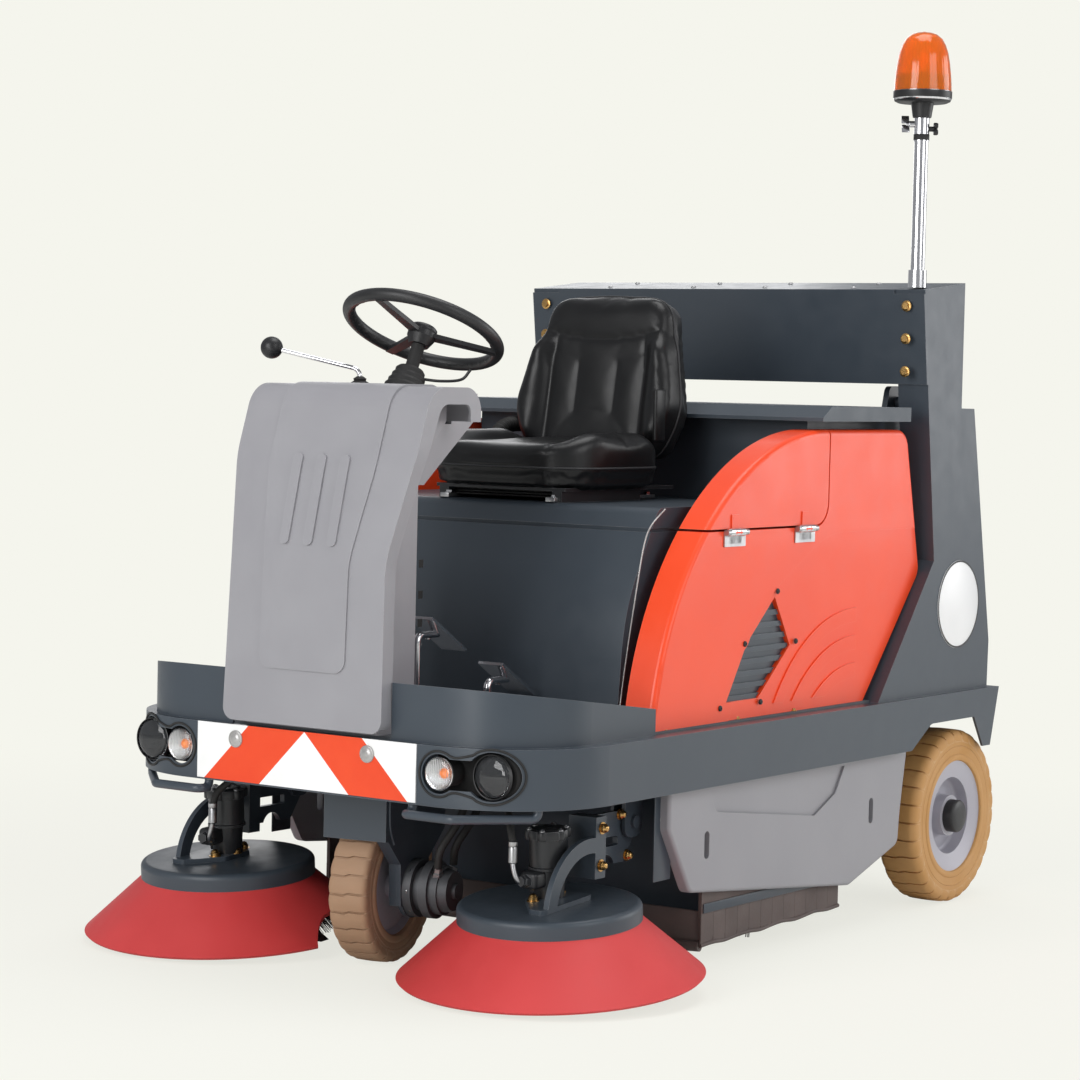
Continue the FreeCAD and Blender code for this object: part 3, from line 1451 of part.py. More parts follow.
for number in range(3):
    outer = "arc_outer-%d*arc_pitch" % number
    extrude(arcs, "XZ", "side_outer_y-2*crease_depth", "crease_depth+arc_proud",
            circles=[("arc_x", "arc_z", outer), ("arc_x", "arc_z", outer + "-arc_width")])
side_whole = fused("side_cover_with_arcs", [side_cover, common("cover_arcs_cut", arcs, arcs_area)])
keep(together("side_covers", [side_whole, mirrored(side_whole, "side_cover_right")]))

flap_area = new_body("flap_area")
extrude(flap_area, "XZ", "0", "side_outer_y+cut_margin", [[
    ("flap_rear_x", "flap_low", "flap_round"),
    (side_far, "flap_low"),
    (side_far, "side_top+cut_margin"),
    ("flap_rear_x", "side_top+cut_margin"),
]])
hinge_y = "side_outer_y+hinge_radius+seat_gap"
flap_parts = [common("flap_shell", side_mould("flap_mould"), flap_area)]
barrels = []
for number, middle in enumerate(("hinge_front_x", "hinge_rear_x"), 1):
    flap_leaf = new_body("flap_leaf_%d" % number)
    third = "(hinge_length/6-seat_gap)"
    block(flap_leaf, "%s-%s" % (middle, third), "%s+%s" % (middle, third),
          "side_outer_y-hinge_thick", "side_outer_y+hinge_thick", "flap_low", "flap_low+hinge_leaf")
    block(flap_leaf, "%s-%s" % (middle, third), "%s+%s" % (middle, third),
          "side_outer_y+seat_gap", "side_outer_y+hinge_thick", "hinge_z", "flap_low+hinge_thick")
    extrude(flap_leaf, "YZ", "%s-%s" % (middle, third), "2*" + third,
            circles=[(hinge_y, "hinge_z", "hinge_radius")])
    extrude(flap_leaf, "YZ", middle + "-hinge_length/2", "hinge_length",
            circles=[(hinge_y, "hinge_z", "hinge_pin+seat_gap")], cut=True)
    flap_parts.append(flap_leaf)
    barrel = new_body("hinge_barrel_%d" % number)
    extrude(barrel, "YZ", middle + "-hinge_length/2", "hinge_length",
            circles=[(hinge_y, "hinge_z", "hinge_pin")])
    block(barrel, middle + "-hinge_length/2", middle + "+hinge_length/2",
          "side_outer_y", "side_outer_y+hinge_thick",
          "hinge_z-hinge_leaf", "hinge_z-hinge_radius-hinge_thick")
    for start in (middle + "-hinge_length/2", middle + "+hinge_length/6"):
        extrude(barrel, "YZ", start, "hinge_length/3", circles=[(hinge_y, "hinge_z", "hinge_radius")])
        block(barrel, start, start + "+hinge_length/3", "side_outer_y", "side_outer_y+hinge_thick",
              "hinge_z-hinge_radius-2*hinge_thick", "hinge_z")
    barrels += [barrel, mirrored(barrel, "hinge_barrel_right_%d" % number)]
flap = fused("flap_left", flap_parts)
keep(flap, mirrored(flap, "flap_right"), together("flap_hinges", barrels))

grille_mask = new_body("louvre_mask")
extrude(grille_mask, "XZ", "side_outer_y-louvre_depth", "louvre_back+louvre_slat", [louvre_outline])
grille_bars = new_body("louvre_bars")
block(grille_bars, "louvre_rear_x", "louvre_foot_front_x", "side_outer_y-louvre_depth",
      "side_outer_y-louvre_depth+louvre_back", "louvre_foot_z", "louvre_top_z")
for number in range(int(DIMS["louvre_count"])):
    foot = "louvre_foot_z+%d*louvre_pitch" % number
    block(grille_bars, "louvre_rear_x", "louvre_foot_front_x", "side_outer_y-louvre_depth",
          "side_outer_y-louvre_depth+louvre_back+louvre_slat", foot, foot + "+louvre_pitch-louvre_slot")
grille = common("louvre_grille_left", grille_bars, grille_mask)
keep(together("louvre_grilles", [grille, mirrored(grille, "louvre_grille_right")]))

# Tank housing behind the seat, its lid and the hose to the engine cover

tank = new_body("tank_housing")
block(tank, "tank_rear_x", "tank_front_x", "-tank_half", "tank_half", deck_top, "lid_low")
keep(tank)

lid = new_body("tank_lid")
extrude(lid, "XZ", "-lid_half", "2*lid_half", [[
    ("lid_rear_x", "lid_low"),
    ("lid_front_x", "lid_low"),
    ("lid_front_x", "lid_low+lid_thick/4"),
    ("lid_front_x-lid_bevel", "lid_low+lid_thick"),
    ("lid_rear_x", "lid_low+lid_thick"),
]])
keep(lid)

hose_turn = Vector(size("tank_front_x+hose_reach"), size("hose_y"), size("hose_z"))
intake_hose = bent_tube("intake_hose", [
    Vector(size("tank_front_x"), hose_turn.y, hose_turn.z),
    hose_turn,
    Vector(hose_turn.x, hose_turn.y, size("cover_top")),
], size("hose_radius"), size("hose_bend"))
keep(intake_hose)

# Portal behind the driver: two posts and the folded beam between them

post = new_body("portal_post_left")
post_inner = "portal_half-post_width"
extrude(post, "XZ", post_inner, "post_width", [[
    ("post_top_front_x", "post_top_z"),
    ("post_mid_front_x", "post_mid_z"),
    ("post_waist_front_x", "post_waist_z"),
    ("post_foot_front_x", "beam_top"),
    ("post_foot_rear_x", "beam_top"),
    ("post_shin_x", "post_shin_z"),
    ("post_step_x", "post_step_z"),
    ("post_neck_x", "post_step_z"),
    ("post_neck_x", "post_crown_z"),
]])
extrude(post, "XZ", post_inner, "hopper_pin_depth",
        circles=[("hopper_pivot_x", "hopper_pivot_z", "hopper_pin+axle_clearance")], cut=True)
keep(together("portal_posts", [post, mirrored(post, "portal_post_right")]))

portal = new_body("portal_beam")
front_slope = "(post_top_front_x-post_mid_front_x)/(post_top_z-post_mid_z)"
front_top = "post_top_front_x-(post_top_z-portal_top)*" + front_slope
front_low = "post_top_front_x-(post_top_z-portal_low)*" + front_slope
extrude(portal, "XZ", "-portal_half", "2*portal_half", [[
    (front_low, "portal_low"),
    (front_low + "+portal_wall", "portal_low"),
    (front_top + "+portal_wall", "portal_top"),
    (front_top, "portal_top"),
]])
extrude(portal, "XZ", "-(%s)" % post_inner, "2*(%s)" % post_inner, [[
    (front_low, "portal_low"),
    (front_low + "+portal_wall", "portal_low"),
    (front_top + "+portal_wall", "portal_top"),
    ("post_top_front_x+portal_wall", "post_top_z"),
    ("post_neck_x", "post_crown_z"),
    ("post_neck_x", "portal_rear_low"),
    ("post_neck_x+portal_wall", "portal_rear_low"),
    ("post_neck_x+portal_wall", "post_crown_z-portal_wall"),
    ("post_top_front_x-portal_wall", "post_top_z-portal_wall"),
]])
keep(portal)

# Beacon on its pole

pole_low = "post_top_z+(post_top_front_x-pole_x+pole_socket_radius)" \
    "*(post_crown_z-post_top_z)/(post_top_front_x-post_neck_x)"
pole = new_body("beacon_pole")
revolve(pole, "XZ", [
    ("0", "0"),
    ("pole_socket_radius", "0"),
    ("pole_socket_radius", "pole_socket_height"),
    ("pole_radius", "pole_socket_height"),
    ("pole_radius", "pole_top-(%s)" % pole_low),
    ("clamp_radius", "pole_top-(%s)" % pole_low),
    ("clamp_radius", "clamp_top-(%s)" % pole_low),
    ("beacon_neck_radius", "beacon_low-beacon_base_height-(%s)" % pole_low),
    ("beacon_radius", "beacon_low-beacon_base_height-(%s)" % pole_low, "beacon_base_height/2"),
    ("beacon_radius", "beacon_low-(%s)" % pole_low),
    ("0", "beacon_low-(%s)" % pole_low),
], "V_Axis")
place(pole, "pole_x", "pole_y", pole_low)
lens = new_body("beacon_lens")
revolve(lens, "XZ", [
    ("0", "0"),
    ("beacon_radius-beacon_step", "0"),
    ("beacon_radius-3*beacon_step", "beacon_shoulder_height", "beacon_radius"),
    ("beacon_top_radius", "beacon_height", "beacon_round"),
    ("0", "beacon_height"),
], "V_Axis")
place(lens, "pole_x", "pole_y", "beacon_low")
keep(pole, lens)

tail = new_body("tail_lamp_left")
tail_mid = "portal_half-post_width/2"
block(tail, "post_neck_x-tail_lamp_thick", "post_neck_x", tail_mid + "-tail_lamp_width/2",
      tail_mid + "+tail_lamp_width/2", "tail_lamp_z-tail_lamp_height/2", "tail_lamp_z+tail_lamp_height/2")
keep(together("tail_lamps", [tail, mirrored(tail, "tail_lamp_right")]))

# Grey covers over the broom bay and the rubber skirts inside them

bay = new_body("broom_cover_left")
bay_start = "rail_outer_y+seat_gap"
extrude(bay, "XZ", bay_start, "bay_thick", [[
    ("bay_front_x", "bay_top"),
    ("bay_front_x", "bay_front_low_z", "bay_round"),
    ("bay_front_foot_x", "bay_front_foot_z", "bay_round"),
    ("bay_mid_foot_x", "bay_low", "bay_round"),
    ("bay_rear_foot_x", "bay_rear_foot_z", "bay_round"),
    ("bay_rear_low_x", "bay_rear_low_z", "bay_round"),
    ("bay_rear_x", "bay_visible_top"),
    ("bay_tab_rear_x", "bay_visible_top"),
    ("bay_tab_rear_x", "bay_top"),
]])
round_edges(bay, "Y", bay_start + "+bay_thick", "bay_edge")
for middle in ("bay_slot_front_x", "bay_slot_rear_x"):
    extrude(bay, "XZ", bay_start, "bay_thick+cut_margin", [[
        (middle + "-bay_slot_width/2", "bay_slot_low", "bay_slot_width/2-0.5"),
        (middle + "+bay_slot_width/2", "bay_slot_low", "bay_slot_width/2-0.5"),
        (middle + "+bay_slot_width/2", "bay_slot_low+bay_slot_height", "bay_slot_width/2-0.5"),
        (middle + "-bay_slot_width/2", "bay_slot_low+bay_slot_height", "bay_slot_width/2-0.5"),
    ]], cut=True)
extrude(bay, "XZ", bay_start + "+bay_thick-bay_dent_depth", "cut_margin", [[
    ("bay_dent_front_x", "bay_dent_top_z"),
    ("bay_dent_shoulder_x", "bay_dent_shoulder_z", "bay_round"),
    ("bay_dent_foot_x", "bay_dent_foot_z"),
    ("bay_dent_heel_x", "bay_dent_heel_z", "bay_round"),
    ("bay_dent_rear_x", "bay_dent_top_z"),
]], cut=True)
keep(together("broom_covers", [bay, mirrored(bay, "broom_cover_right")]))

skirt = new_body("side_skirt_left")
block(skirt, "skirt_rear_x", "skirt_front_x",
      "rail_outer_y-skirt_thick", "rail_outer_y", "skirt_low", "skirt_top")
keep(together("side_skirts", [skirt, mirrored(skirt, "side_skirt_right")]))

# Main broom with its blades of bristle, and the housing over it

broom = new_body("main_broom")
extrude(broom, "XZ", "-broom_half", "2*broom_half", circles=[("0", "0", "broom_core")])
extrude(broom, "XZ", "-(%s)-2*cheek_thick" % rail_inner, "2*(%s)+4*cheek_thick" % rail_inner,
        circles=[("0", "0", "broom_shaft_radius")])
blade = extrude(broom, "XZ", "-broom_half", "2*broom_half", [[
    ("broom_core-broom_blade_thick/2", "-broom_blade_thick/2"),
    ("broom_radius", "-broom_blade_thick/2"),
    ("broom_radius", "broom_blade_thick/2"),
    ("broom_core-broom_blade_thick/2", "broom_blade_thick/2"),
]])
around(broom, blade, "broom_blades", "XZ")
place(broom, "broom_x", "0", "broom_z")
keep(broom)

housing = new_body("broom_housing")
reach = "(broom_radius+hood_gap)"
hood_half = "(%s+cheek_thick/2)" % rail_inner
extrude(housing, "XZ", "-" + hood_half, "2*" + hood_half, [[
    ("broom_x+%s+hood_thick" % reach, "hood_low"),
    ("broom_x+%s+hood_thick" % reach, "broom_z+%s+hood_thick" % reach, "hood_round"),
    ("broom_x-%s-hood_thick" % reach, "broom_z+%s+hood_thick" % reach, "hood_round"),
    ("broom_x-%s-hood_thick" % reach, "hood_rear_low"),
    ("broom_x-%s" % reach, "hood_rear_low"),
    ("broom_x-%s" % reach, "broom_z+" + reach, "hood_round-hood_thick"),
    ("broom_x+%s" % reach, "broom_z+" + reach, "hood_round-hood_thick"),
    ("broom_x+" + reach, "hood_low"),
]])
for start in (rail_inner, "-(%s)-cheek_thick" % rail_inner):
    extrude(housing, "XZ", start, "cheek_thick", [[
        ("broom_x-%s-2*hood_thick" % reach, rail_low),
        ("broom_x-%s-2*hood_thick" % reach, "hood_rear_low-hood_thick"),
        ("broom_x-broom_core", "broom_z-broom_core"),
        ("broom_x+broom_core", "broom_z-broom_core"),
        ("broom_x+%s+2*hood_thick" % reach, "hood_low-hood_thick"),
        ("broom_x+%s+2*hood_thick" % reach, rail_low),
    ]])
extrude(housing, "XZ", "-beam_half", "2*beam_half",
        circles=[("broom_x", "broom_z", "broom_shaft_radius+axle_clearance")], cut=True)
keep(housing)

# Dirt hopper, hung from the posts by two arms

hopper_shell = new_body("hopper_shell")


def hopper_outline(inset):
    return [
        ("hopper_front_x-(%s)" % inset, "hopper_low+(%s)" % inset),
        ("hopper_front_x-(%s)" % inset, "hopper_top-(%s)" % inset),
        ("hopper_top_rear_x+(%s)" % inset, "hopper_top-(%s)" % inset),
        ("hopper_rear_x+(%s)" % inset, "hopper_shoulder_z"),
        ("hopper_rear_x+(%s)" % inset, "hopper_low+(%s)" % inset, "hopper_round-(%s)" % inset),
    ]


extrude(hopper_shell, "XZ", "-hopper_half", "2*hopper_half", [hopper_outline("0")])
extrude(hopper_shell, "XZ", "-hopper_half+hopper_wall", "2*(hopper_half-hopper_wall)",
        [hopper_outline("hopper_wall")], cut=True)
extrude(hopper_shell, "YZ", "hopper_front_x-2*hopper_wall", "2*hopper_wall+cut_margin", [[
    ("-hopper_half+hopper_wall", "hopper_low+hopper_wall"),
    ("hopper_half-hopper_wall", "hopper_low+hopper_wall"),
    ("hopper_half-hopper_wall", "hopper_mouth_top"),
    ("-hopper_half+hopper_wall", "hopper_mouth_top"),
]], cut=True)
for side in ("", "-"):
    near = "hopper_half-hopper_arm_thick" if side == "" else "-hopper_half"
    extrude(hopper_shell, "XZ", near, "hopper_arm_thick", [[
        ("hopper_pivot_x-2*hopper_arm_half", "hopper_top-hopper_wall"),
        ("hopper_pivot_x+2*hopper_arm_half", "hopper_top-hopper_wall"),
        ("hopper_pivot_x+hopper_arm_half", "hopper_pivot_z+hopper_arm_half", "hopper_arm_half/2"),
        ("hopper_pivot_x-hopper_arm_half", "hopper_pivot_z+hopper_arm_half", "hopper_arm_half/2"),
    ]])
    near = "hopper_half-hopper_wall" if side == "" else "-(%s)-hopper_pin_depth+seat_gap" % post_inner
    extrude(hopper_shell, "XZ", near, "%s-hopper_half+hopper_wall+hopper_pin_depth-seat_gap" % post_inner,
            circles=[("hopper_pivot_x", "hopper_pivot_z", "hopper_pin")])
handle_x = size("hopper_rear_x+(hopper_handle_z-hopper_shoulder_z)"
                "*(hopper_top_rear_x-hopper_rear_x)/(hopper_top-hopper_shoulder_z)")
handle = bent_tube("hopper_handle", [
    Vector(handle_x + size("hopper_wall/2"), -size("hopper_handle_half"), size("hopper_handle_z")),
    Vector(handle_x - size("hopper_handle_reach"), -size("hopper_handle_half"), size("hopper_handle_z")),
    Vector(handle_x - size("hopper_handle_reach"), size("hopper_handle_half"), size("hopper_handle_z")),
    Vector(handle_x + size("hopper_wall/2"), size("hopper_handle_half"), size("hopper_handle_z")),
], size("hopper_handle_radius"), size("hopper_handle_radius*2"))
keep(fused("hopper", [hopper_shell, handle]))

# Side brushes: each hangs on an arm from the chassis and leans forward


def lean(item):
    place(item, "brush_x", "brush_y", "0", Vector(0, 1, 0), "brush_tilt")


disc_low = "brush_disc_top-brush_disc_thick"
disc = new_body("brush_disc_left")
revolve(disc, "XZ", [
    ("brush_shaft_radius+brush_disc_wall", "brush_disc_top-brush_disc_wall"),
    ("brush_shaft_radius+brush_disc_wall", "brush_disc_top"),
    ("brush_disc_radius", "brush_disc_top", "brush_disc_round"),
    ("brush_disc_radius", disc_low),
    ("brush_disc_radius-brush_disc_wall", disc_low),
    ("brush_disc_radius-brush_disc_wall", "brush_disc_top-brush_disc_wall",
     "brush_disc_round-brush_disc_wall"),
], "V_Axis")
lean(disc)
cone = new_body("brush_skirt_left")
revolve(cone, "XZ", [
    ("brush_disc_radius-brush_disc_wall", disc_low + "-seat_gap"),
    ("brush_disc_radius", disc_low + "-seat_gap"),
    ("brush_skirt_radius", "brush_skirt_low+brush_skirt_thick"),
    ("brush_skirt_radius-brush_skirt_thick", "brush_skirt_low"),
], "V_Axis")
extrude(cone, "XY", "0", "brush_disc_top", circles=[
    ("skirt_notch_x-brush_x", "-brush_y", "skirt_notch_radius"),
], cut=True)
lean(cone)
side_brush = new_body("side_brush_left")
plate_low = "brush_plate_top-brush_plate_thick"
revolve(side_brush, "XZ", [
    ("0", plate_low),
    ("brush_plate_radius", plate_low),
    ("brush_plate_radius", "brush_plate_top"),
    ("brush_shaft_radius", "brush_plate_top"),
    ("brush_shaft_radius", "brush_shaft_top"),
    ("0", "brush_shaft_top"),
], "V_Axis")
tip_low = "bristle_clear+bristle_reach*sin(brush_tilt*1deg)"
tuft = extrude(side_brush, "XZ", "-bristle_half", "2*bristle_half", [[
    ("bristle_root", plate_low + "+bristle_thick/2"),
    ("bristle_root", plate_low + "-bristle_thick/2"),
    ("bristle_reach-bristle_thick", tip_low),
    ("bristle_reach", tip_low),
    ("bristle_root+2*bristle_thick", plate_low + "+bristle_thick/2"),
]])
around(side_brush, tuft, "bristle_count", "XY")
lean(side_brush)

brush_motor = new_body("brush_motor_left")
motor_low = "brush_disc_top+brush_flange_thick+2*seat_gap"
motor_top = "brush_disc_top+brush_motor_height"
revolve(brush_motor, "XZ", [
    ("brush_shaft_radius+axle_clearance", motor_low),
    ("brush_motor_foot_radius", motor_low),
    ("brush_motor_radius-brush_motor_ring", motor_low + "+brush_motor_taper"),
    ("brush_motor_radius", motor_low + "+brush_motor_taper+brush_motor_ring"),
    ("brush_motor_radius", motor_top),
    ("brush_cap_radius", motor_top),
    ("brush_cap_radius", motor_top + "+brush_cap_height"),
    ("0", motor_top + "+brush_cap_height"),
    ("0", "brush_shaft_top+brush_disc_wall"),
    ("brush_shaft_radius+axle_clearance", "brush_shaft_top+brush_disc_wall"),
], "V_Axis")
lean(brush_motor)

arm_plate = new_body("brush_arm_plate")
extrude(arm_plate, "XZ", "arm_y-arm_thick/2", "arm_thick", [[
    ("arm_pivot_x-arm_half", "arm_pivot_z+arm_half", "arm_round"),
    ("arm_pivot_x-arm_half", "arm_pivot_z-arm_half", "arm_round"),
    ("arm_slot_rear_x-arm_round", "arm_link_low"),
    ("arm_post_front_x", "arm_link_low"),
    ("arm_post_front_x", "arm_pivot_z+arm_half"),
]])
extrude(arm_plate, "XZ", "arm_y-arm_pin_half", "2*arm_pin_half",
        circles=[("arm_pivot_x", "arm_pivot_z", "arm_pin")])
extrude(arm_plate, "XZ", "arm_y-arm_thick", "2*arm_thick", [[
    ("arm_slot_rear_x", "arm_slot_low", "arm_slot_height/4"),
    ("arm_slot_front_x", "arm_slot_low", "arm_slot_height/4"),
    ("arm_slot_front_x", "arm_slot_low+arm_slot_height", "arm_slot_height/4"),
    ("arm_slot_rear_x", "arm_slot_low+arm_slot_height", "arm_slot_height/4"),
]], cut=True)
extrude(arm_plate, "XZ", "arm_y-arm_thick", "2*arm_thick",
        circles=[("arm_arch_x", "arm_link_low-arm_arch_radius/3", "arm_arch_radius")], cut=True)
block(arm_plate, "arm_post_rear_x", "arm_post_front_x", "arm_post_inner_y", "arm_post_outer_y",
      "arm_post_low", "arm_post_top")
arch_ring = new_body("brush_arch_ring")
extrude(arch_ring, "XZ", "arm_post_outer_y-arch_plate_thick", "arch_plate_thick", circles=[
    ("arch_plate_x", "arch_plate_z", "arch_plate_outer"),
    ("arch_plate_x", "arch_plate_z", "arch_plate_inner"),
])
arch_area = new_body("brush_arch_area")
block(arch_area, "arm_post_rear_x", "arch_plate_x+2*arch_plate_outer",
      "arm_post_inner_y", "arm_post_outer_y", "arch_plate_foot", "arch_plate_z+2*arch_plate_outer")
arch_plate = common("brush_arch_plate", arch_ring, arch_area)
flange = new_body("brush_flange")
extrude(flange, "XY", "brush_disc_top+seat_gap", "brush_flange_thick", [[
    ("-foot_rear", "-foot_inner", "foot_round"),
    ("foot_rear", "-foot_inner", "foot_round"),
    ("foot_front", "foot_inner", "foot_round"),
    ("foot_front", "arm_post_outer_y-brush_y", "foot_round"),
    ("-brush_flange_radius", "arm_post_outer_y-brush_y", "foot_round"),
    ("-brush_flange_radius", "foot_inner", "foot_round"),
]])
extrude(flange, "XY", "brush_disc_top", "2*brush_flange_thick",
        circles=[("0", "0", "brush_shaft_radius+brush_disc_wall")], cut=True)
lean(flange)
arm = fused("brush_arm_left", [arm_plate, arch_plate, flange])
for piece in (arm, brush_motor, disc, cone, side_brush):
    keep(piece, mirrored(piece, piece.Label.replace("left", "right")))

# Pedals under the column

pedals = []
for number in range(2):
    pad_y = "pedal_y+%d*pedal_pitch" % number
    pad = new_body("pedal_pad_%d" % (number + 1))
    block(pad, "-pedal_thick/2", "pedal_thick/2", "-pedal_width/2", "pedal_width/2",
          "-pedal_length/2", "pedal_length/2")
    pad_x = "pedal_x-%d*pedal_step_x" % number
    pad_z = deck_top + "+pedal_rise-%d*pedal_step_z" % number
    place(pad, pad_x, pad_y, pad_z, Vector(0, 1, 0), "pedal_lean")
    stem_x = size(pad_x + "+pedal_length/2")
    stem = bent_tube("pedal_stem_%d" % (number + 1), [
        Vector(stem_x, size(pad_y), size(deck_top)),
        Vector(stem_x, size(pad_y), size(pad_z)),
        Vector(size(pad_x), size(pad_y), size(pad_z)),
    ], size("pedal_arm/2"), size("pedal_arm"))
    pedals.append(fused("pedal_%d" % (number + 1), [pad, stem]))
keep(together("pedals", pedals))

# Check and export

doc.recompute()
for item in doc.Objects:
    bad = [state for state in item.State if state in ("Invalid", "Error")]
    if bad:
        raise RuntimeError("%s: %s" % (item.Label, bad))
for item in nodes:
    shape = item.Shape
    if shape.isNull() or not shape.isValid() or not shape.Solids:
        raise RuntimeError("bad shape: " + item.Label)
    item.Shape.exportStep(os.path.join("parts", item.Label + ".step"))
print("%d sub-parts written" % len(nodes))
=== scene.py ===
# %% [markdown]
# # A ride-on road sweeper, dressed for its photograph
# The solids of the machine come packed as a fixed frame: every node sits at its
# real place in metres, X forward, Y to the driver's left, Z up. This lesson adds
# what makes it look real: paint, rubber, bristles, hoses, bolts and a soft seat.

# %% Load the frame and note its box
import bpy
import math
import random
from mathutils import Matrix, Vector


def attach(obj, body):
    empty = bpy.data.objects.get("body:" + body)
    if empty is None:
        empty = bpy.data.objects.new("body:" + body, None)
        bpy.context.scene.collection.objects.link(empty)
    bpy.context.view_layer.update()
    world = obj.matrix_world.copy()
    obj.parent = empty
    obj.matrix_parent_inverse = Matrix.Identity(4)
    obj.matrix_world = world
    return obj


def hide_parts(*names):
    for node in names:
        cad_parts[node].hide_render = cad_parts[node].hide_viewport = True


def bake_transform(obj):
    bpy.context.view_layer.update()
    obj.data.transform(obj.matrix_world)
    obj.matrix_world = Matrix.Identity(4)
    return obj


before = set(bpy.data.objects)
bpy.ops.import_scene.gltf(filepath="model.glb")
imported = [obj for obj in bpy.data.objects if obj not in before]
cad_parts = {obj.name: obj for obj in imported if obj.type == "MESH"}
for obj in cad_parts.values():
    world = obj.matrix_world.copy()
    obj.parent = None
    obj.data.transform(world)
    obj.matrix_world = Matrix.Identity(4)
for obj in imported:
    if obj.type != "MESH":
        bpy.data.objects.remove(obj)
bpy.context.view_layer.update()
random.seed(7)

# %% [markdown]
# ## Camera
# The picture was taken from the front left at chest height with a long lens, so
# parallel edges hardly converge. A lens of about 103 mm on a square frame, seven
# metres away, gives the same view of the tyres, the beam and the portal.

# %% Camera at the photographer's place
camera_data = bpy.data.cameras.new("camera")
camera = bpy.data.objects.new("camera", camera_data)
bpy.context.collection.objects.link(camera)
camera_data.lens = 103.268
camera_data.sensor_width = 36
camera.location = (5.75309, 3.89253, 1.22336)
camera.rotation_euler = [math.radians(a) for a in (86.96751, -1.29407, 124.94040)]
bpy.context.scene.camera = camera
print("camera", [round(v, 2) for v in camera.location])

# %% [markdown]
# ## Studio
# The photograph has a bare pale background and soft light from the front and
# the left. A large pale floor catches the shadow near the machine and fades to
# the background's own colour further out, so no horizon shows. The world is pale
# to the camera, and lights the machine no more than a grey room would, so the
# paint keeps its own colours.

# %% A world that is pale to the eye and calm as a light
STUDIO_PALE = (0.913, 0.913, 0.847, 1)


def node_material(name):
    """An empty node material with its output, ready for a shader."""
    material = bpy.data.materials.new(name)
    material.use_nodes = True
    nodes = material.node_tree.nodes
    nodes.clear()
    out = nodes.new("ShaderNodeOutputMaterial")
    return material, nodes, material.node_tree.links, out


def math_node(nodes, links, operation, *values):
    """A sum of one or two values; each is a number or a socket."""
    node = nodes.new("ShaderNodeMath")
    node.operation = operation
    for socket, value in zip(node.inputs, values):
        if isinstance(value, (int, float)):
            socket.default_value = value
        else:
            links.new(value, socket)
    return node.outputs[0]


def mix_shaders(nodes, links, share, first, second, out):
    """Mix two shaders by a share and lead them to the output."""
    mix = nodes.new("ShaderNodeMixShader")
    links.new(share, mix.inputs["Fac"])
    links.new(first.outputs[0], mix.inputs[1])
    links.new(second.outputs[0], mix.inputs[2])
    links.new(mix.outputs[0], out.inputs["Surface"])


def seen_directly(nodes, links):
    """One for rays from the camera and through glass."""
    path = nodes.new("ShaderNodeLightPath").outputs
    return math_node(nodes, links, "MAXIMUM", path["Is Camera Ray"], path["Is Transmission Ray"])


world = bpy.data.worlds.new("studio")
bpy.context.scene.world = world
world.use_nodes = True
world_nodes = world.node_tree.nodes
world_links = world.node_tree.links
world_nodes.clear()
world_out = world_nodes.new("ShaderNodeOutputWorld")
pale = world_nodes.new("ShaderNodeBackground")
pale.inputs["Color"].default_value = STUDIO_PALE
calm = world_nodes.new("ShaderNodeBackground")
calm.inputs["Color"].default_value = (0.86, 0.88, 0.92, 1)
calm.inputs["Strength"].default_value = 0.4
mix_shaders(world_nodes, world_links, seen_directly(world_nodes, world_links), calm, pale,
            world_out)
print("world strength for light", calm.inputs["Strength"].default_value)

# %% [markdown]
# The floor mixes two things: a plain diffuse white that takes the soft shadow,
# and a glow of the background's colour. A radial fade read from Object
# coordinates lets the glow take over away from the machine.

# %% A floor that fades into the background
FADE_START = 1.2
FADE_END = 3.4
GLOW_NEAR = 0.8
FLOOR_DROP = 0.0005
bpy.ops.object.select_all(action="DESELECT")
bpy.ops.mesh.primitive_plane_add(size=80, location=(0, 0, -FLOOR_DROP))
floor = bpy.context.object
floor.name = "floor"
floor_paint, nodes, links, out = node_material("floor")
matt = nodes.new("ShaderNodeBsdfDiffuse")
matt.inputs["Color"].default_value = (0.9, 0.9, 0.86, 1)
glow = nodes.new("ShaderNodeEmission")
glow.inputs["Color"].default_value = STUDIO_PALE
where = nodes.new("ShaderNodeTexCoord")
far = nodes.new("ShaderNodeVectorMath")
far.operation = "LENGTH"
links.new(where.outputs["Object"], far.inputs[0])
fade = nodes.new("ShaderNodeMapRange")
fade.interpolation_type = "SMOOTHSTEP"
fade.inputs["From Min"].default_value = FADE_START
fade.inputs["From Max"].default_value = FADE_END
fade.inputs["To Min"].default_value = GLOW_NEAR
links.new(far.outputs["Value"], fade.inputs["Value"])
share = math_node(nodes, links, "MULTIPLY", fade.outputs["Result"], seen_directly(nodes, links))
mix_shaders(nodes, links, share, matt, glow, out)
floor.data.materials.append(floor_paint)
print("floor fades from", FADE_START, "to", FADE_END, "m")

# %% [markdown]
# Six square lamps stand round the machine. The wide one behind the left side
# hardly lights the paint, but it mirrors in the flat side plates, which is why
# they look paler than the plates that face the camera. A small low one ahead
# draws the gleam on the bend of the deck wall.

# %% Soft lamps


def softbox(name, place, aim, size, watts):
    """A square area lamp that points at aim."""
    light = bpy.data.lights.new(name, "AREA")
    light.shape = "SQUARE"
    light.size = size
    light.energy = watts
    lamp = bpy.data.objects.new(name, light)
    bpy.context.collection.objects.link(lamp)
    lamp.location = place
    lamp.rotation_euler = (Vector(aim) - Vector(place)).to_track_quat("-Z", "Y").to_euler()


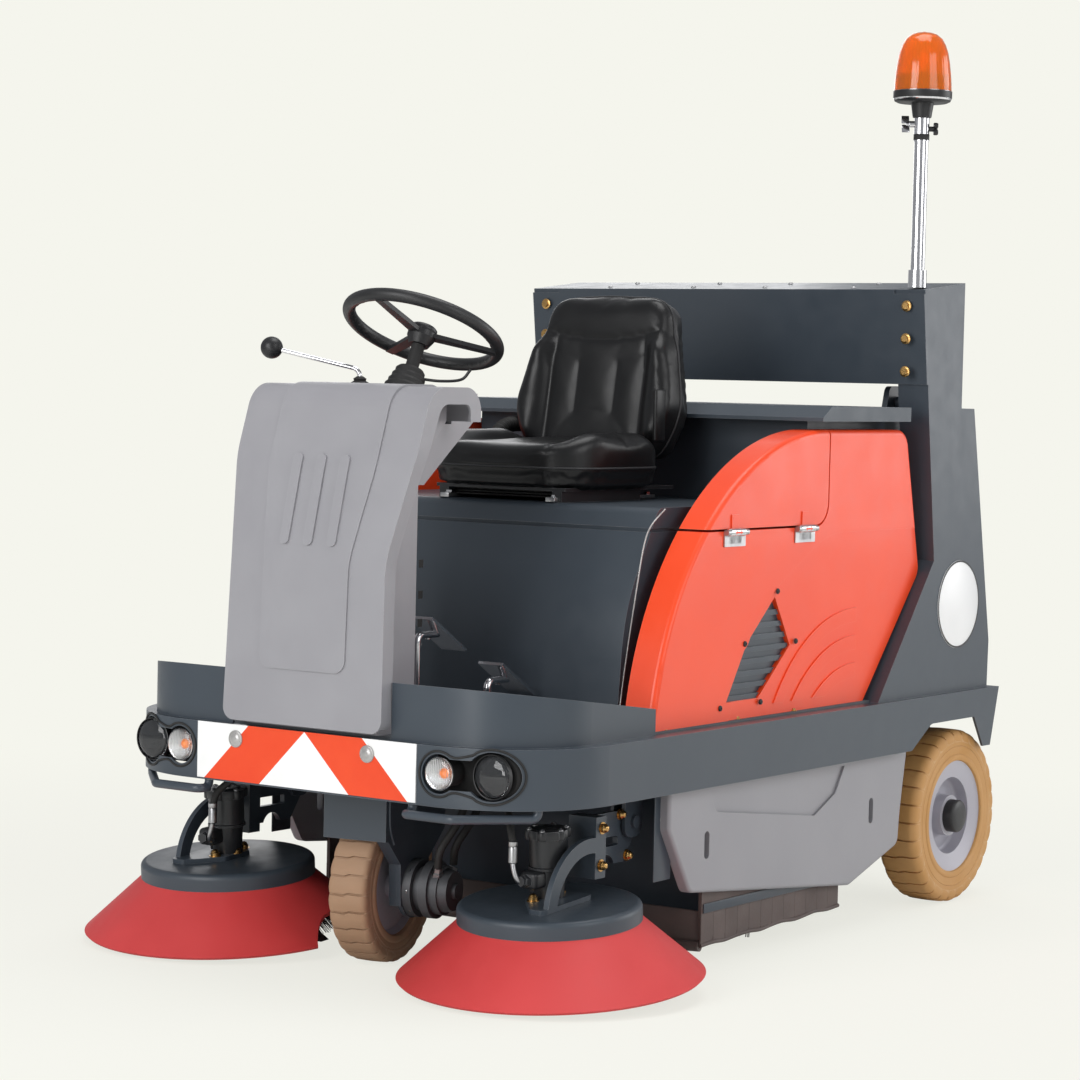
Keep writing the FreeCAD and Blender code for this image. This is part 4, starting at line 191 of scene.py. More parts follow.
softbox("front_light", (6.0, -0.5, 3.0), (0.3, 0, 0.7), 3.0, 160)
softbox("left_light", (1.2, 6.2, 3.4), (0, 0, 0.7), 3.5, 108)
softbox("wall_gleam", (5.6, 0.85, 0.95), (0.6, 0.2, 0.6), 1.1, 30)
softbox("top_light", (-0.5, 0.5, 5.5), (0, 0, 0.8), 3.0, 105)
softbox("side_mirror", (-5.2, 4.4, 2.2), (-0.3, 0.4, 1.1), 3.4, 115)
softbox("rear_light", (-5.0, -4.0, 3.2), (0, 0, 0.8), 3.0, 55)
bpy.context.scene.view_settings.view_transform = "Standard"
print("lamps ready")

# %% [markdown]
# ## Finishes
# Real paint and plastic are never one flat colour. Each finish here mixes two
# close tones with a slow noise, varies its gloss a little, carries a fine bump
# and pales a touch on sharp edges, where handling wears it. All is read from
# Object coordinates, so nothing slides when a part turns.

# %% A recipe for paint, plastic and rubber
WORN_WIDTH = 0.0016


def bumped(nodes, links, height, distance, shader):
    """Let a height pattern tilt the surface."""
    bump = nodes.new("ShaderNodeBump")
    bump.inputs["Distance"].default_value = distance
    links.new(height, bump.inputs["Height"])
    links.new(bump.outputs["Normal"], shader.inputs["Normal"])


def add_noise(nodes, links, vector, scale, detail=3.0):
    """A soft random pattern."""
    noise = nodes.new("ShaderNodeTexNoise")
    noise.inputs["Scale"].default_value = scale
    noise.inputs["Detail"].default_value = detail
    links.new(vector, noise.inputs["Vector"])
    return noise.outputs["Fac"]


def stretch(nodes, links, value, low, high, near=0.3, far=0.7):
    """Spread a value between two others."""
    spread = nodes.new("ShaderNodeMapRange")
    spread.inputs["From Min"].default_value = near
    spread.inputs["From Max"].default_value = far
    spread.inputs["To Min"].default_value = low
    spread.inputs["To Max"].default_value = high
    links.new(value, spread.inputs["Value"])
    return spread.outputs["Result"]


def mixed(nodes, links, factor, first, second):
    """Mix two colours; each is a tone or a socket."""
    mix = nodes.new("ShaderNodeMix")
    mix.data_type = "RGBA"
    links.new(factor, mix.inputs["Factor"])
    for key, colour in (("A", first), ("B", second)):
        if isinstance(colour, tuple):
            mix.inputs[key].default_value = (*colour, 1)
        else:
            links.new(colour, mix.inputs[key])
    return mix.outputs["Result"]


def finish(name, tone, second, rough, metal=0.0, cloud=5.0, grain=500.0, depth=0.02, coat=0.0,
           worn=None):
    """Two tones in slow clouds, uneven gloss, grain of a depth in mm and worn edges."""
    material, nodes, links, out = node_material(name)
    shader = nodes.new("ShaderNodeBsdfPrincipled")
    where = nodes.new("ShaderNodeTexCoord").outputs["Object"]
    clouds = stretch(nodes, links, add_noise(nodes, links, where, cloud), 0, 1)
    colour = mixed(nodes, links, clouds, tone, second)
    if worn:
        rounded = nodes.new("ShaderNodeBevel")
        rounded.samples = 4
        rounded.inputs["Radius"].default_value = WORN_WIDTH
        turn = nodes.new("ShaderNodeVectorMath")
        turn.operation = "DOT_PRODUCT"
        links.new(rounded.outputs["Normal"], turn.inputs[0])
        links.new(nodes.new("ShaderNodeNewGeometry").outputs["Normal"], turn.inputs[1])
        sharp = stretch(nodes, links, turn.outputs["Value"], 0.6, 0, 0.86, 0.98)
        rubbed = stretch(nodes, links, add_noise(nodes, links, where, cloud * 6), 0.2, 1)
        patch = math_node(nodes, links, "MULTIPLY", sharp, rubbed)
        colour = mixed(nodes, links, patch, colour, worn)
    links.new(colour, shader.inputs["Base Color"])
    gloss = add_noise(nodes, links, where, cloud * 4)
    links.new(stretch(nodes, links, gloss, rough * 0.88, rough * 1.12), shader.inputs["Roughness"])
    bumped(nodes, links, add_noise(nodes, links, where, grain, 2.0), depth * 0.001, shader)
    shader.inputs["Metallic"].default_value = metal
    shader.inputs["Coat Weight"].default_value = coat
    shader.inputs["Coat Roughness"].default_value = 0.1
    links.new(shader.outputs[0], out.inputs["Surface"])
    return material


print("recipe ready")

# %% The finishes


def set_input(material, key, value):
    """Change one input of a finish's shader."""
    material.node_tree.nodes["Principled BSDF"].inputs[key].default_value = value


PALE_EDGE = (0.3, 0.31, 0.33)
slate = finish("slate_paint", (0.045, 0.058, 0.074), (0.05, 0.063, 0.079), 0.34, depth=0.03,
               worn=PALE_EDGE)
slate_mould = finish("slate_moulding", (0.043, 0.056, 0.071), (0.048, 0.061, 0.076), 0.42,
                     grain=900, depth=0.05, worn=PALE_EDGE)
pale_mould = finish("pale_moulding", (0.29, 0.285, 0.305), (0.315, 0.31, 0.33), 0.45, grain=700,
                    depth=0.03, worn=(0.55, 0.55, 0.56))
orange_mould = finish("orange_moulding", (0.9, 0.062, 0.009), (0.94, 0.072, 0.012), 0.38, coat=0.1,
                      worn=(0.9, 0.3, 0.16))
black_mould = finish("black_moulding", (0.012, 0.012, 0.013), (0.02, 0.02, 0.021), 0.42, grain=900,
                     depth=0.05)
black_paint = finish("black_paint", (0.014, 0.015, 0.017), (0.024, 0.025, 0.027), 0.36, depth=0.05,
                     worn=PALE_EDGE)
brown_rubber = finish("brown_rubber", (0.085, 0.062, 0.056), (0.12, 0.088, 0.08), 0.6, cloud=12,
                      grain=120, depth=0.4)
black_rubber = finish("black_rubber", (0.012, 0.012, 0.012), (0.022, 0.021, 0.02), 0.66, grain=600,
                      depth=0.06)
red_rubber = finish("red_rubber", (0.61, 0.046, 0.046), (0.66, 0.056, 0.056), 0.5, grain=500,
                    depth=0.04)
bright_steel = finish("bright_steel", (0.78, 0.78, 0.79), (0.68, 0.68, 0.7), 0.16, metal=1.0,
                      cloud=20)
plain_steel = finish("plain_steel", (0.5, 0.5, 0.5), (0.38, 0.38, 0.39), 0.34, metal=1.0, cloud=30)
cast_metal = finish("cast_metal", (0.05, 0.053, 0.058), (0.09, 0.093, 0.1), 0.5, metal=0.3,
                    grain=200, depth=0.2, worn=PALE_EDGE)
brass = finish("brass", (0.62, 0.38, 0.14), (0.5, 0.3, 0.11), 0.28, metal=1.0, cloud=40)
rim_paint = finish("rim_paint", (0.42, 0.41, 0.46), (0.47, 0.46, 0.51), 0.4, metal=0.1,
                   worn=(0.7, 0.7, 0.72))
beige_tyre = finish("beige_tyre", (0.36, 0.215, 0.125), (0.43, 0.27, 0.17), 0.75, cloud=9,
                    grain=350, depth=0.15, worn=(0.5, 0.36, 0.26))
ochre_tyre = finish("ochre_tyre", (0.5, 0.255, 0.075), (0.56, 0.31, 0.12), 0.7, cloud=9, grain=350,
                    depth=0.15, worn=(0.62, 0.42, 0.25))
deck_paint = finish("deck_paint", (0.075, 0.084, 0.095), (0.1, 0.108, 0.118), 0.6, grain=160,
                    depth=0.5)
seat_vinyl = finish("seat_vinyl", (0.0045, 0.0045, 0.005), (0.007, 0.007, 0.0075), 0.36, grain=420,
                    depth=0.06)
set_input(seat_vinyl, "IOR", 1.42)
seat_piping = finish("seat_piping", (0.02, 0.02, 0.022), (0.03, 0.03, 0.032), 0.5, grain=900,
                     depth=0.2)
bristle_nylon = finish("bristle_nylon", (0.012, 0.012, 0.013), (0.035, 0.034, 0.034), 0.8,
                       cloud=60)
red_lamp = finish("red_lamp", (0.42, 0.006, 0.004), (0.5, 0.01, 0.006), 0.15, coat=0.6, grain=120,
                  depth=0.4)
amber_bulb = finish("amber_bulb", (0.95, 0.2, 0.01), (1.0, 0.27, 0.015), 0.2, coat=0.5)
set_input(amber_bulb, "Emission Color", (1, 0.22, 0.01, 1))
set_input(amber_bulb, "Emission Strength", 0.5)
grey_sheet = finish("grey_sheet", (0.4, 0.39, 0.38), (0.5, 0.49, 0.48), 0.3, metal=0.4, cloud=25,
                    grain=150, depth=0.3)
white_sheet = finish("white_sheet", (0.9, 0.9, 0.9), (0.85, 0.85, 0.85), 0.35, grain=380)
# Near-black painted shade for the console slots and the lamp pods: it stands for the dark inside
# them.
gap_shade = finish("gap_shade", (0.004, 0.004, 0.004), (0.008, 0.008, 0.008), 0.85, grain=300)
print("plain finishes", len(bpy.data.materials))

# %% [markdown]
# ## Lamps and the warning board
# Lamp glass and the beacon's orange hood let light through, so they use the
# shader's own transmission. The board is white reflective sheet with bands that
# fall outwards from the middle, worked out from the height and the distance from
# the middle line.

# %% Clear plastics and the banded board
BAND_START = 0.504
BAND_END = 0.65
BEAD_HEIGHT = 0.00004


def clear_plastic(name, colour, rough, share):
    """Tinted plastic that lets a share of the light through."""
    material = finish(name, colour, colour, rough, grain=60, depth=0.3)
    set_input(material, "Transmission Weight", share)
    set_input(material, "IOR", 1.49)
    return material


amber_lens = clear_plastic("amber_lens", (1.0, 0.25, 0.015), 0.08, 0.6)
lamp_glass = clear_plastic("lamp_glass", (0.95, 0.96, 0.98), 0.03, 0.95)
dark_glass = clear_plastic("dark_glass", (0.6, 0.62, 0.66), 0.03, 0.95)


def band_material():
    """Red bands on white sheet of fine glass beads."""
    material, nodes, links, out = node_material("warning_bands")
    shader = nodes.new("ShaderNodeBsdfPrincipled")
    where = nodes.new("ShaderNodeTexCoord").outputs["Object"]
    split = nodes.new("ShaderNodeSeparateXYZ")
    links.new(where, split.inputs[0])
    side = math_node(nodes, links, "ABSOLUTE", split.outputs["Y"])
    total = math_node(nodes, links, "ADD", split.outputs["Z"], side)
    past = math_node(nodes, links, "GREATER_THAN", total, BAND_START)
    before = math_node(nodes, links, "LESS_THAN", total, BAND_END)
    inside = math_node(nodes, links, "MULTIPLY", past, before)
    haze = stretch(nodes, links, add_noise(nodes, links, where, 14), 0, 1)
    red = mixed(nodes, links, haze, (0.8, 0.055, 0.008), (0.84, 0.07, 0.012))
    white = mixed(nodes, links, haze, (0.93, 0.93, 0.92), (0.88, 0.88, 0.87))
    links.new(mixed(nodes, links, inside, white, red), shader.inputs["Base Color"])
    bead = nodes.new("ShaderNodeTexVoronoi")
    bead.inputs["Scale"].default_value = 380
    links.new(where, bead.inputs["Vector"])
    bumped(nodes, links, bead.outputs["Distance"], BEAD_HEIGHT, shader)
    shader.inputs["Roughness"].default_value = 0.35
    links.new(shader.outputs[0], out.inputs["Surface"])
    return material


warning_bands = band_material()
print("bands", BAND_START, BAND_END)

# %% [markdown]
# ## Paint the frame's own nodes
# Where the solid already has the right shape it stays, and only its material
# slots change.

# %% The nodes that take each finish
PAINTED = (
    (slate, "chassis_frame bumper_beam deck_wall portal_posts portal_beam broom_housing "
            "steering_fork hopper brush_arm_left brush_arm_right"),
    (plain_steel, "rear_stub_axles flap_hinges"),
    (deck_paint, "deck_floor"),
    (warning_bands, "chevron_board"),
    # The lamp pods are painted near-black shade.
    (gap_shade, "lamp_pods"),
    (lamp_glass, "front_lamps"),
    (pale_mould, "front_fairing steering_console broom_covers"),
    (black_rubber, "steering_column intake_hose"),
    (bright_steel, "drive_lever beacon_pole pedals"),
    (slate_mould, "engine_cover louvre_grilles tank_housing tank_lid brush_disc_left "
                  "brush_disc_right"),
    (cast_metal, "engine_block drive_motor"),
    (black_paint, "seat_frame brush_motor_left brush_motor_right"),
    (seat_vinyl, "seat_cushion seat_back"),
    (orange_mould, "side_covers flap_left flap_right"),
    (amber_lens, "beacon_lens"),
    (brown_rubber, "side_skirts"),
    (red_lamp, "tail_lamps"),
    (beige_tyre, "front_tyre"),
    (rim_paint, "front_rim rear_rim_left rear_rim_right"),
    (black_mould, "steering_wheel"),
    (ochre_tyre, "rear_tyre_left rear_tyre_right"),
    (bristle_nylon, "main_broom side_brush_left side_brush_right"),
    (red_rubber, "brush_skirt_left brush_skirt_right"),
)
count = 0
for material, names in PAINTED:
    for name in names.split():
        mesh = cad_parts[name].data
        mesh.materials.clear()
        mesh.materials.append(material)
        count += 1
print("painted", count, "nodes")

# %% [markdown]
# ## Ways to make a part
# A few makers are used all through. Each ends as a plain mesh whose object stays
# at the origin, with the place of the part in its points, so that it turns with
# the body it rides. Shapes are written in millimetres where that is shorter.

# %% Directions, slots and small helpers
AHEAD = (1, 0, 0)
LEFT = (0, 1, 0)
UP = (0, 0, 1)
SIDES = (("left", 1), ("right", -1))


def moved(place):
    """A move from the origin to a place."""
    return Matrix.Translation(place)


def spun(angle, axis):
    """A turn about an axis of the frame."""
    return Matrix.Rotation(angle, 4, axis)


def mm(text, unit=0.001):
    """Pairs or triples in metres from a text of millimetres, or of another unit."""
    return [tuple(float(value) * unit for value in part.split()) for part in text.split(",")]


def linked(name, data):
    """A new object around mesh or curve data."""
    thing = bpy.data.objects.new(name, data)
    bpy.context.collection.objects.link(thing)
    return thing


def facing(toward):
    """The turn that points Z toward a direction."""
    return Vector(toward).to_track_quat("Z", "Y").to_matrix().to_4x4()


def shaped(piece, kind, **settings):
    """Apply one modifier."""
    bpy.ops.object.modifier_add(type=kind)
    for key, value in settings.items():
        setattr(piece.modifiers[0], key, value)
    bpy.ops.object.modifier_apply(modifier=piece.modifiers[0].name)


def nothing_selected():
    """Leave any edit mode and deselect all."""
    if bpy.context.object and bpy.context.object.mode != "OBJECT":
        bpy.ops.object.mode_set(mode="OBJECT")
    bpy.ops.object.select_all(action="DESELECT")


def pick_out(*things):
    """Select these only, the first one active."""
    nothing_selected()
    for thing in things:
        thing.select_set(True)
    bpy.context.view_layer.objects.active = things[0]


def tidy(piece):
    """Merge doubled points and turn all faces outwards."""
    pick_out(piece)
    bpy.ops.object.mode_set(mode="EDIT")
    bpy.ops.mesh.select_all(action="SELECT")
    bpy.ops.mesh.remove_doubles(threshold=0.00002)
    bpy.ops.mesh.normals_make_consistent(inside=False)
    bpy.ops.object.mode_set(mode="OBJECT")
    return piece


print("directions", AHEAD, LEFT, UP)

# %% [markdown]
# A turned part grows as a ring of edges that is extruded and resized level by
# level. A boxed part has bevelled edges. A hose is swept along smooth points, and
# its folds are steps in the radius.

# %% Turned, boxed and swept parts


def turned(name, steps, sides=48, ring=False):
    """A part of revolution about Z from steps of radius and level.

    The steps are pairs in metres or a text in millimetres; a ring closes on itself.
    """
    steps = mm(steps) if isinstance(steps, str) else steps
    nothing_selected()
    radius, level = steps[0]
    bpy.ops.mesh.primitive_circle_add(vertices=sides, radius=radius, location=(0, 0, 0))
    piece = bpy.context.object
    piece.name = name
    bpy.ops.object.mode_set(mode="EDIT")
    bpy.ops.mesh.select_all(action="SELECT")
    bpy.ops.transform.translate(value=(0, 0, level))
    for next_radius, next_level in steps[1:]:
        rise = {"value": (0, 0, next_level - level)}
        bpy.ops.mesh.extrude_region_move(TRANSFORM_OT_translate=rise)
        factor = next_radius / radius
        bpy.ops.transform.resize(value=(factor, factor, 1), center_override=(0, 0, 0))
        radius, level = next_radius, next_level
    bpy.ops.mesh.select_all(action="SELECT")
    if not ring:
        bpy.ops.mesh.fill_holes(sides=0)
    bpy.ops.object.mode_set(mode="OBJECT")
    return tidy(piece)


def boxed(name, low, high, round_by=0.002, segments=2):
    """A box between two corners with bevelled edges."""
    nothing_selected()
    middle = [(a + b) / 2 for a, b in zip(low, high)]
    size = [b - a for a, b in zip(low, high)]
    bpy.ops.mesh.primitive_cube_add(size=1, location=middle, scale=size)
    bpy.ops.object.transform_apply(location=True, rotation=True, scale=True)
    piece = bpy.context.object
    piece.name = name
    bpy.ops.object.mode_set(mode="EDIT")
    bpy.ops.mesh.select_all(action="SELECT")
    bpy.ops.mesh.bevel(offset=round_by, segments=segments, affect="EDGES")
    bpy.ops.object.mode_set(mode="OBJECT")
    return piece


def smooth_path(points, steps=10):
    """Points on a curve that passes through all the given ones."""
    knots = [Vector(p) for p in points]
    knots = [2 * knots[0] - knots[1]] + knots + [2 * knots[-1] - knots[-2]]
    path = []
    for a, b, c, d in zip(knots, knots[1:], knots[2:], knots[3:]):
        for step in range(steps):
            t = step / steps
            path.append(0.5 * (2 * b + (c - a) * t + (2 * a - 5 * b + 4 * c - d) * t * t
                               + (3 * b - a - 3 * c + d) * t * t * t))
    return path + [knots[-2]]


def hose(name, points, radius, sides=4, ribs=0, steps=10, depth=0.14):
    """A round sweep along a smooth path; ribs gives the number of folds along it."""
    path = smooth_path(points, steps)
    if ribs:
        lengths = [0.0]
        for a, b in zip(path, path[1:]):
            lengths.append(lengths[-1] + (b - a).length)
        fine = []
        for number in range(ribs * 4 + 1):
            target = lengths[-1] * number / (ribs * 4)
            index = max(i for i, value in enumerate(lengths[:-1]) if value <= target + 1e-9)
            share = (target - lengths[index]) / (lengths[index + 1] - lengths[index])
            fine.append(path[index].lerp(path[index + 1], share))
        path = fine
    curve = bpy.data.curves.new(name, "CURVE")
    curve.dimensions = "3D"
    curve.bevel_depth = radius
    curve.bevel_resolution = sides
    curve.use_fill_caps = True
    line = curve.splines.new("POLY")
    line.points.add(len(path) - 1)
    for number, place in enumerate(path):
        line.points[number].co = (*place, 1)
        if ribs:
            line.points[number].radius = 1 - depth * (0.5 + 0.5 * math.cos(math.pi * number / 2))
    pick_out(linked(name, curve))
    bpy.ops.object.convert(target="MESH")
    return tidy(bpy.context.object)


print("turned, boxed and swept parts ready")

# %% Place, join, repeat and mirror


def set_at(piece, place, toward=UP, roll=0.0):
    """Turn a part's own Z toward a direction and move it to its place."""
    piece.data.transform(moved(place) @ facing(toward) @ spun(roll, "Z"))
    return piece


def joined(name, *pieces):
    """Several pieces as one mesh."""
    pick_out(*pieces)
    bpy.ops.object.join()
    pieces[0].name = name
    return pieces[0]


def twin(piece, name, move=None):
    """A copy with its own mesh, moved by a matrix."""
    other = linked(name, piece.data.copy())
    if move is not None:
        other.data.transform(move)
    return other


def repeated(name, sample, moves):
    """One copy of the sample for each matrix, all in one mesh; the sample goes."""
    copies = [twin(sample, name, move) for move in moves]
    bpy.data.objects.remove(sample)
    return joined(name, *copies)


def on_places(places, toward=UP):
    """The moves that put a sample at each place, facing one way."""
    return [moved(place) @ facing(toward) for place in places]


def mirrored(piece, name):
    """The same part on the other side of the machine."""
    other = twin(piece, name, Matrix.Scale(-1, 4, LEFT))
    other.data.flip_normals()
    return other


print("placing ready")

# %% Dress a part for its body


def dress(piece, material, angle, body="sweeper"):
    """Finish, soft shading and the body it rides, if any."""
    piece.data.materials.clear()
    piece.data.materials.append(material)
    pick_out(piece)
    bpy.ops.object.shade_smooth_by_angle(angle=math.radians(angle))
    if body:
        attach(piece, body)
    return piece


def fitted(name, steps, sides, place, toward, material, angle, body="sweeper",
           ring=False):
    """A turned part, set in its place and dressed."""
    piece = set_at(turned(name, steps, sides, ring), place, toward)
    return dress(piece, material, angle, body)


# %% Bolts and screws


def hex_bolt(size):
    """A washer with a chamfered six-sided head of the given half width."""
    washer = turned("washer", mm("1.5 0, 1.5 0.2, 1.4 0.28, 0.3 0.28", size), 20)
    head = turned("head", mm("1.1 0.2, 1.1 0.85, 0.9 1, 0.3 1", size), 6)
    return joined("hex_bolt", washer, head)


def domed_screw(size):
    """A low round head with a small dimple for the key."""
    steps = mm("1 0, 1 0.25, 0.82 0.55, 0.5 0.7, 0.35 0.68, 0.3 0.4, 0.02 0.38", size)
    return turned("domed_screw", steps, 18)


print("bolts and screws ready")

# %% [markdown]
# ## Tyres
# The tyres are solid rubber moulded in a two-part mould. The carcass is a turned
# ring with a bead, a groove half-way up its wall and a round shoulder. The tread
# is one block, bent round the shoulder and copied round the wheel; the stepped
# slit between two blocks is what the mould's blades leave behind.

# %% A carcass and its blocks
CROWN = 0.001
CHAMFER = 0.0013
BLOCK_REACH = 0.011
SLIT_STEP = 0.0030


def shoulder_profile(along, half, radius, curve):
    """Axial place, radius and outward direction at a distance along the tread's cross-section."""
    sign = 1 if along >= 0 else -1
    flat = half - curve
    run = abs(along)
    if run <= flat:
        return along, radius - CROWN * (run / flat) ** 2, (0.0, 1.0)
    angle = min((run - flat) / curve, math.pi / 2)
    down = max(run - flat - curve * math.pi / 2, 0)
    place = flat + curve * math.sin(angle)
    level = radius - CROWN - curve * (1 - math.cos(angle)) - down
    return sign * place, level, (sign * math.sin(angle), math.cos(angle))


def tread_block(half, radius, curve, pitch, gap, deep):
    """One block of tread; its two long edges carry a step in the middle."""
    nothing_selected()
    bpy.ops.mesh.primitive_grid_add(x_subdivisions=3, y_subdivisions=22, size=1)
    block = bpy.context.object
    bpy.ops.object.mode_set(mode="EDIT")
    bpy.ops.mesh.select_all(action="SELECT")
    bpy.ops.mesh.extrude_region_move(TRANSFORM_OT_translate={"value": (0, 0, -1)})
    bpy.ops.mesh.select_all(action="SELECT")
    bpy.ops.mesh.normals_make_consistent(inside=False)
    bpy.ops.object.mode_set(mode="OBJECT")
    reach = half - curve + curve * math.pi / 2 + BLOCK_REACH
    for vertex in block.data.vertices:
        along = vertex.co.y * 2 * reach
        axial, level, (out_side, out_up) = shoulder_profile(along, half, radius, curve)
        edge = abs(vertex.co.x) > 0.45
        end = abs(vertex.co.y) > 0.47
        sunk = deep * 1.2 if vertex.co.z < -0.5 else (CHAMFER if edge or end else 0.0)
        zig = SLIT_STEP * max(-1.0, min(1.0, along / 0.006))
        zig -= SLIT_STEP * 0.6 * math.sin(math.pi * along / reach)
        arc = vertex.co.x * (pitch - gap) + zig
        level -= sunk * out_up
        axial -= sunk * out_side
        angle = arc / radius
        vertex.co = (level * math.sin(angle), level * math.cos(angle), axial)
    return block


def tyre(name, radius, half, curve, bead, blocks, gap, deep, groove):
    """A carcass ring about Z with blocks round it."""
    low = radius - deep
    wall = half - 0.0012
    shoulder = []
    for number in range(9):
        place, level, _ = shoulder_profile((half - curve) + curve * math.pi / 2 * number / 8, half,
                                           radius, curve)
        shoulder.append((level - deep * math.cos(math.pi / 2 * number / 8),
                         place - deep * 0.25 * number / 8))
    side = shoulder + [(groove + 0.006, wall), (groove + 0.0012, wall - 0.0002),
                       (groove, wall - 0.0014), (groove - 0.0012, wall - 0.0002),
                       (groove - 0.006, wall - 0.0004), (bead + 0.0165, wall - 0.0018),
                       (bead + 0.0145, wall + 0.0002), (bead + 0.0125, wall + 0.001),
                       (bead + 0.004, wall + 0.0008), (bead + 0.0015, wall - 0.0006),
                       (bead, wall - 0.004)]
    section = [(bead, 0)] + [(r, -z) for r, z in reversed(side)] + [(low, 0)] + side + [(bead, 0)]
    carcass = turned(name, section, 144, ring=True)
    pitch = 2 * math.pi * radius / blocks
    sample = tread_block(half, radius, curve, pitch, gap, deep)
    moves = [spun(2 * math.pi * n / blocks, "Z") for n in range(blocks)]
    return joined(name, carcass, repeated(name + "_tread", sample, moves))


REAR_AXLE = -0.803
REAR_RADIUS, FRONT_RADIUS = 0.205, 0.160
PARKED = math.radians(10)
for side, sign in SIDES:
    rear = tyre("rear_tread_" + side, REAR_RADIUS, 0.0525, 0.017, 0.131, 30, 0.0048, 0.0062, 0.166)
    set_at(rear, (REAR_AXLE, sign * 0.4895, REAR_RADIUS), LEFT)
    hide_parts("rear_tyre_" + side)
    dress(rear, ochre_tyre, 28, "rear_wheel_" + side)
front = tyre("front_tread", FRONT_RADIUS, 0.044, 0.012, 0.102, 26, 0.0052, 0.0062, 0.131)
set_at(front, (0.6793, -0.0246, FRONT_RADIUS), (-math.sin(PARKED), math.cos(PARKED), 0))
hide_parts("front_tyre")
dress(front, beige_tyre, 28, "front_wheel")

# %% [markdown]
# ## Hubs
# A black cap is pressed over each rear axle nut. Its edge is rolled and its face
# slightly domed, so it carries one soft highlight.

# %% Hub caps
for side, sign in SIDES:
    fitted("hub_cap_" + side, "38.5 -38, 38.5 -6, 37.2 -2, 34 0, 18 1.6, 1 2", 48,
           (REAR_AXLE, sign * 0.5515, REAR_RADIUS), (0, sign, 0), black_mould, 50,
           "rear_wheel_" + side)

# %% [markdown]
# ## Lamps
# Each lamp is a real bowl: a bright dish behind a clear ribbed lens, with an
# amber bulb a little to the left of its middle. The headlamp lies deeper, in a
# black tunnel.

# %% Indicators and headlamps
LAMP_Z = 0.450
INDICATOR_Y, HEADLAMP_Y = 0.332, 0.436
for side, sign in SIDES:
    y = sign * INDICATOR_Y
    fitted("indicator_bowl_" + side, "32.5 0, 33.5 3, 32.5 4, 30 -1, 24 -8, 12 -14, 1 -15", 48,
           (0.9655, y, LAMP_Z), AHEAD, bright_steel, 50)
    fitted("indicator_bulb_" + side, "8 -10, 10.5 -3, 10.5 3, 7.5 8, 1 10", 24,
           (0.9615, y + 0.0125, LAMP_Z + 0.002), AHEAD, amber_bulb, 60)
    lens = turned("indicator_lens_" + side, "32.2 -1, 32.2 3, 30 5.2, 22 7.5, 11 8.8, 1 9.2", 48)
    ribs = repeated("lens_ribs", boxed("rib", (-0.0006, -0.0285, 0.0042), (0.0006, 0.0285, 0.0062),
                                       0.0004, 1),
                    [moved((0.0042 * n, 0, 0)) @ Matrix.Scale(math.cos(0.14 * n), 4, LEFT)
                     for n in range(-6, 7)])
    lens = set_at(joined("indicator_lens_" + side, lens, ribs), (0.9655, y, LAMP_Z), AHEAD)
    dress(lens, lamp_glass, 40)
    y = sign * HEADLAMP_Y
    fitted("headlamp_tunnel_" + side, "42.5 4, 44 4.5, 44 -4, 42.5 -4, 41.5 -6, 40 0", 48,
           (0.9335, y, LAMP_Z), AHEAD, black_mould, 50, ring=True)
    fitted("headlamp_bowl_" + side, "38 0, 34 -6, 24 -13, 12 -17, 6 -18, 6 -4, 1 -3", 48,
           (0.9345, y, LAMP_Z), AHEAD, black_paint, 50)
    glass = fitted("headlamp_glass_" + side, "40.5 0, 40.5 2, 34 6, 20 9.5, 1 11", 48,
                   (0.9345, y, LAMP_Z), AHEAD, dark_glass, 60)
    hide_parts("front_lamps")
    fitted("headlamp_spot_" + side, "13 0, 14.5 4, 12.5 4.5, 8 1, 3.5 0, 3 7, 1 8.5", 32,
           (0.9215, y, LAMP_Z), AHEAD, bright_steel, 50)

# %% [markdown]
# ## Round discs on the board
# Two pressed discs hold the striped board. Their raised edge and middle catch
# the light.

# %% Board discs
board_disc = turned("board_disc", "17.5 0, 17.5 2.2, 16.5 3.4, 14.8 3.6, 14.2 2.8, "
                    "7.5 3.4, 6.8 4.2, 3 4.4, 1 4.4", 40)
board_discs = repeated("board_discs", board_disc,
                       on_places(mm("974 -178 475, 974 160 474"), AHEAD))
dress(board_discs, grey_sheet, 50)
print("discs on", board_discs.name)

# %% [markdown]
# ## The seat
# The seat is foam under vinyl. The plain pads are copied, remeshed finely, given
# their bolsters and stitched lines, and then blown up a little as cloth while
# the stitches are held. That gives the soft rolls between seams.

# %% Pads blown up between their stitches
LEAN_BACK = math.radians(10)
VOXEL = 0.0055
STITCH_DEPTH = 0.0035
PRESSURE = 4
CLOTH_FRAMES = 20
MOST_PUFF = 0.007


def back_frame(co):
    """Forward, across and up along the leaning back."""
    x, y, z = co.x + 0.053, co.y, co.z - 1.040
    cosine, sine = math.cos(LEAN_BACK), math.sin(LEAN_BACK)
    return x * cosine + z * sine, y, z * cosine - x * sine


def hump(value, middle, width):
    """A bell curve of height one."""
    return math.exp(-((value - middle) / width) ** 2)


def ramp(value, low, high):
    """A smooth rise from nought to one."""
    share = max(0.0, min(1.0, (value - low) / (high - low)))
    return share * share * (3 - 2 * share)


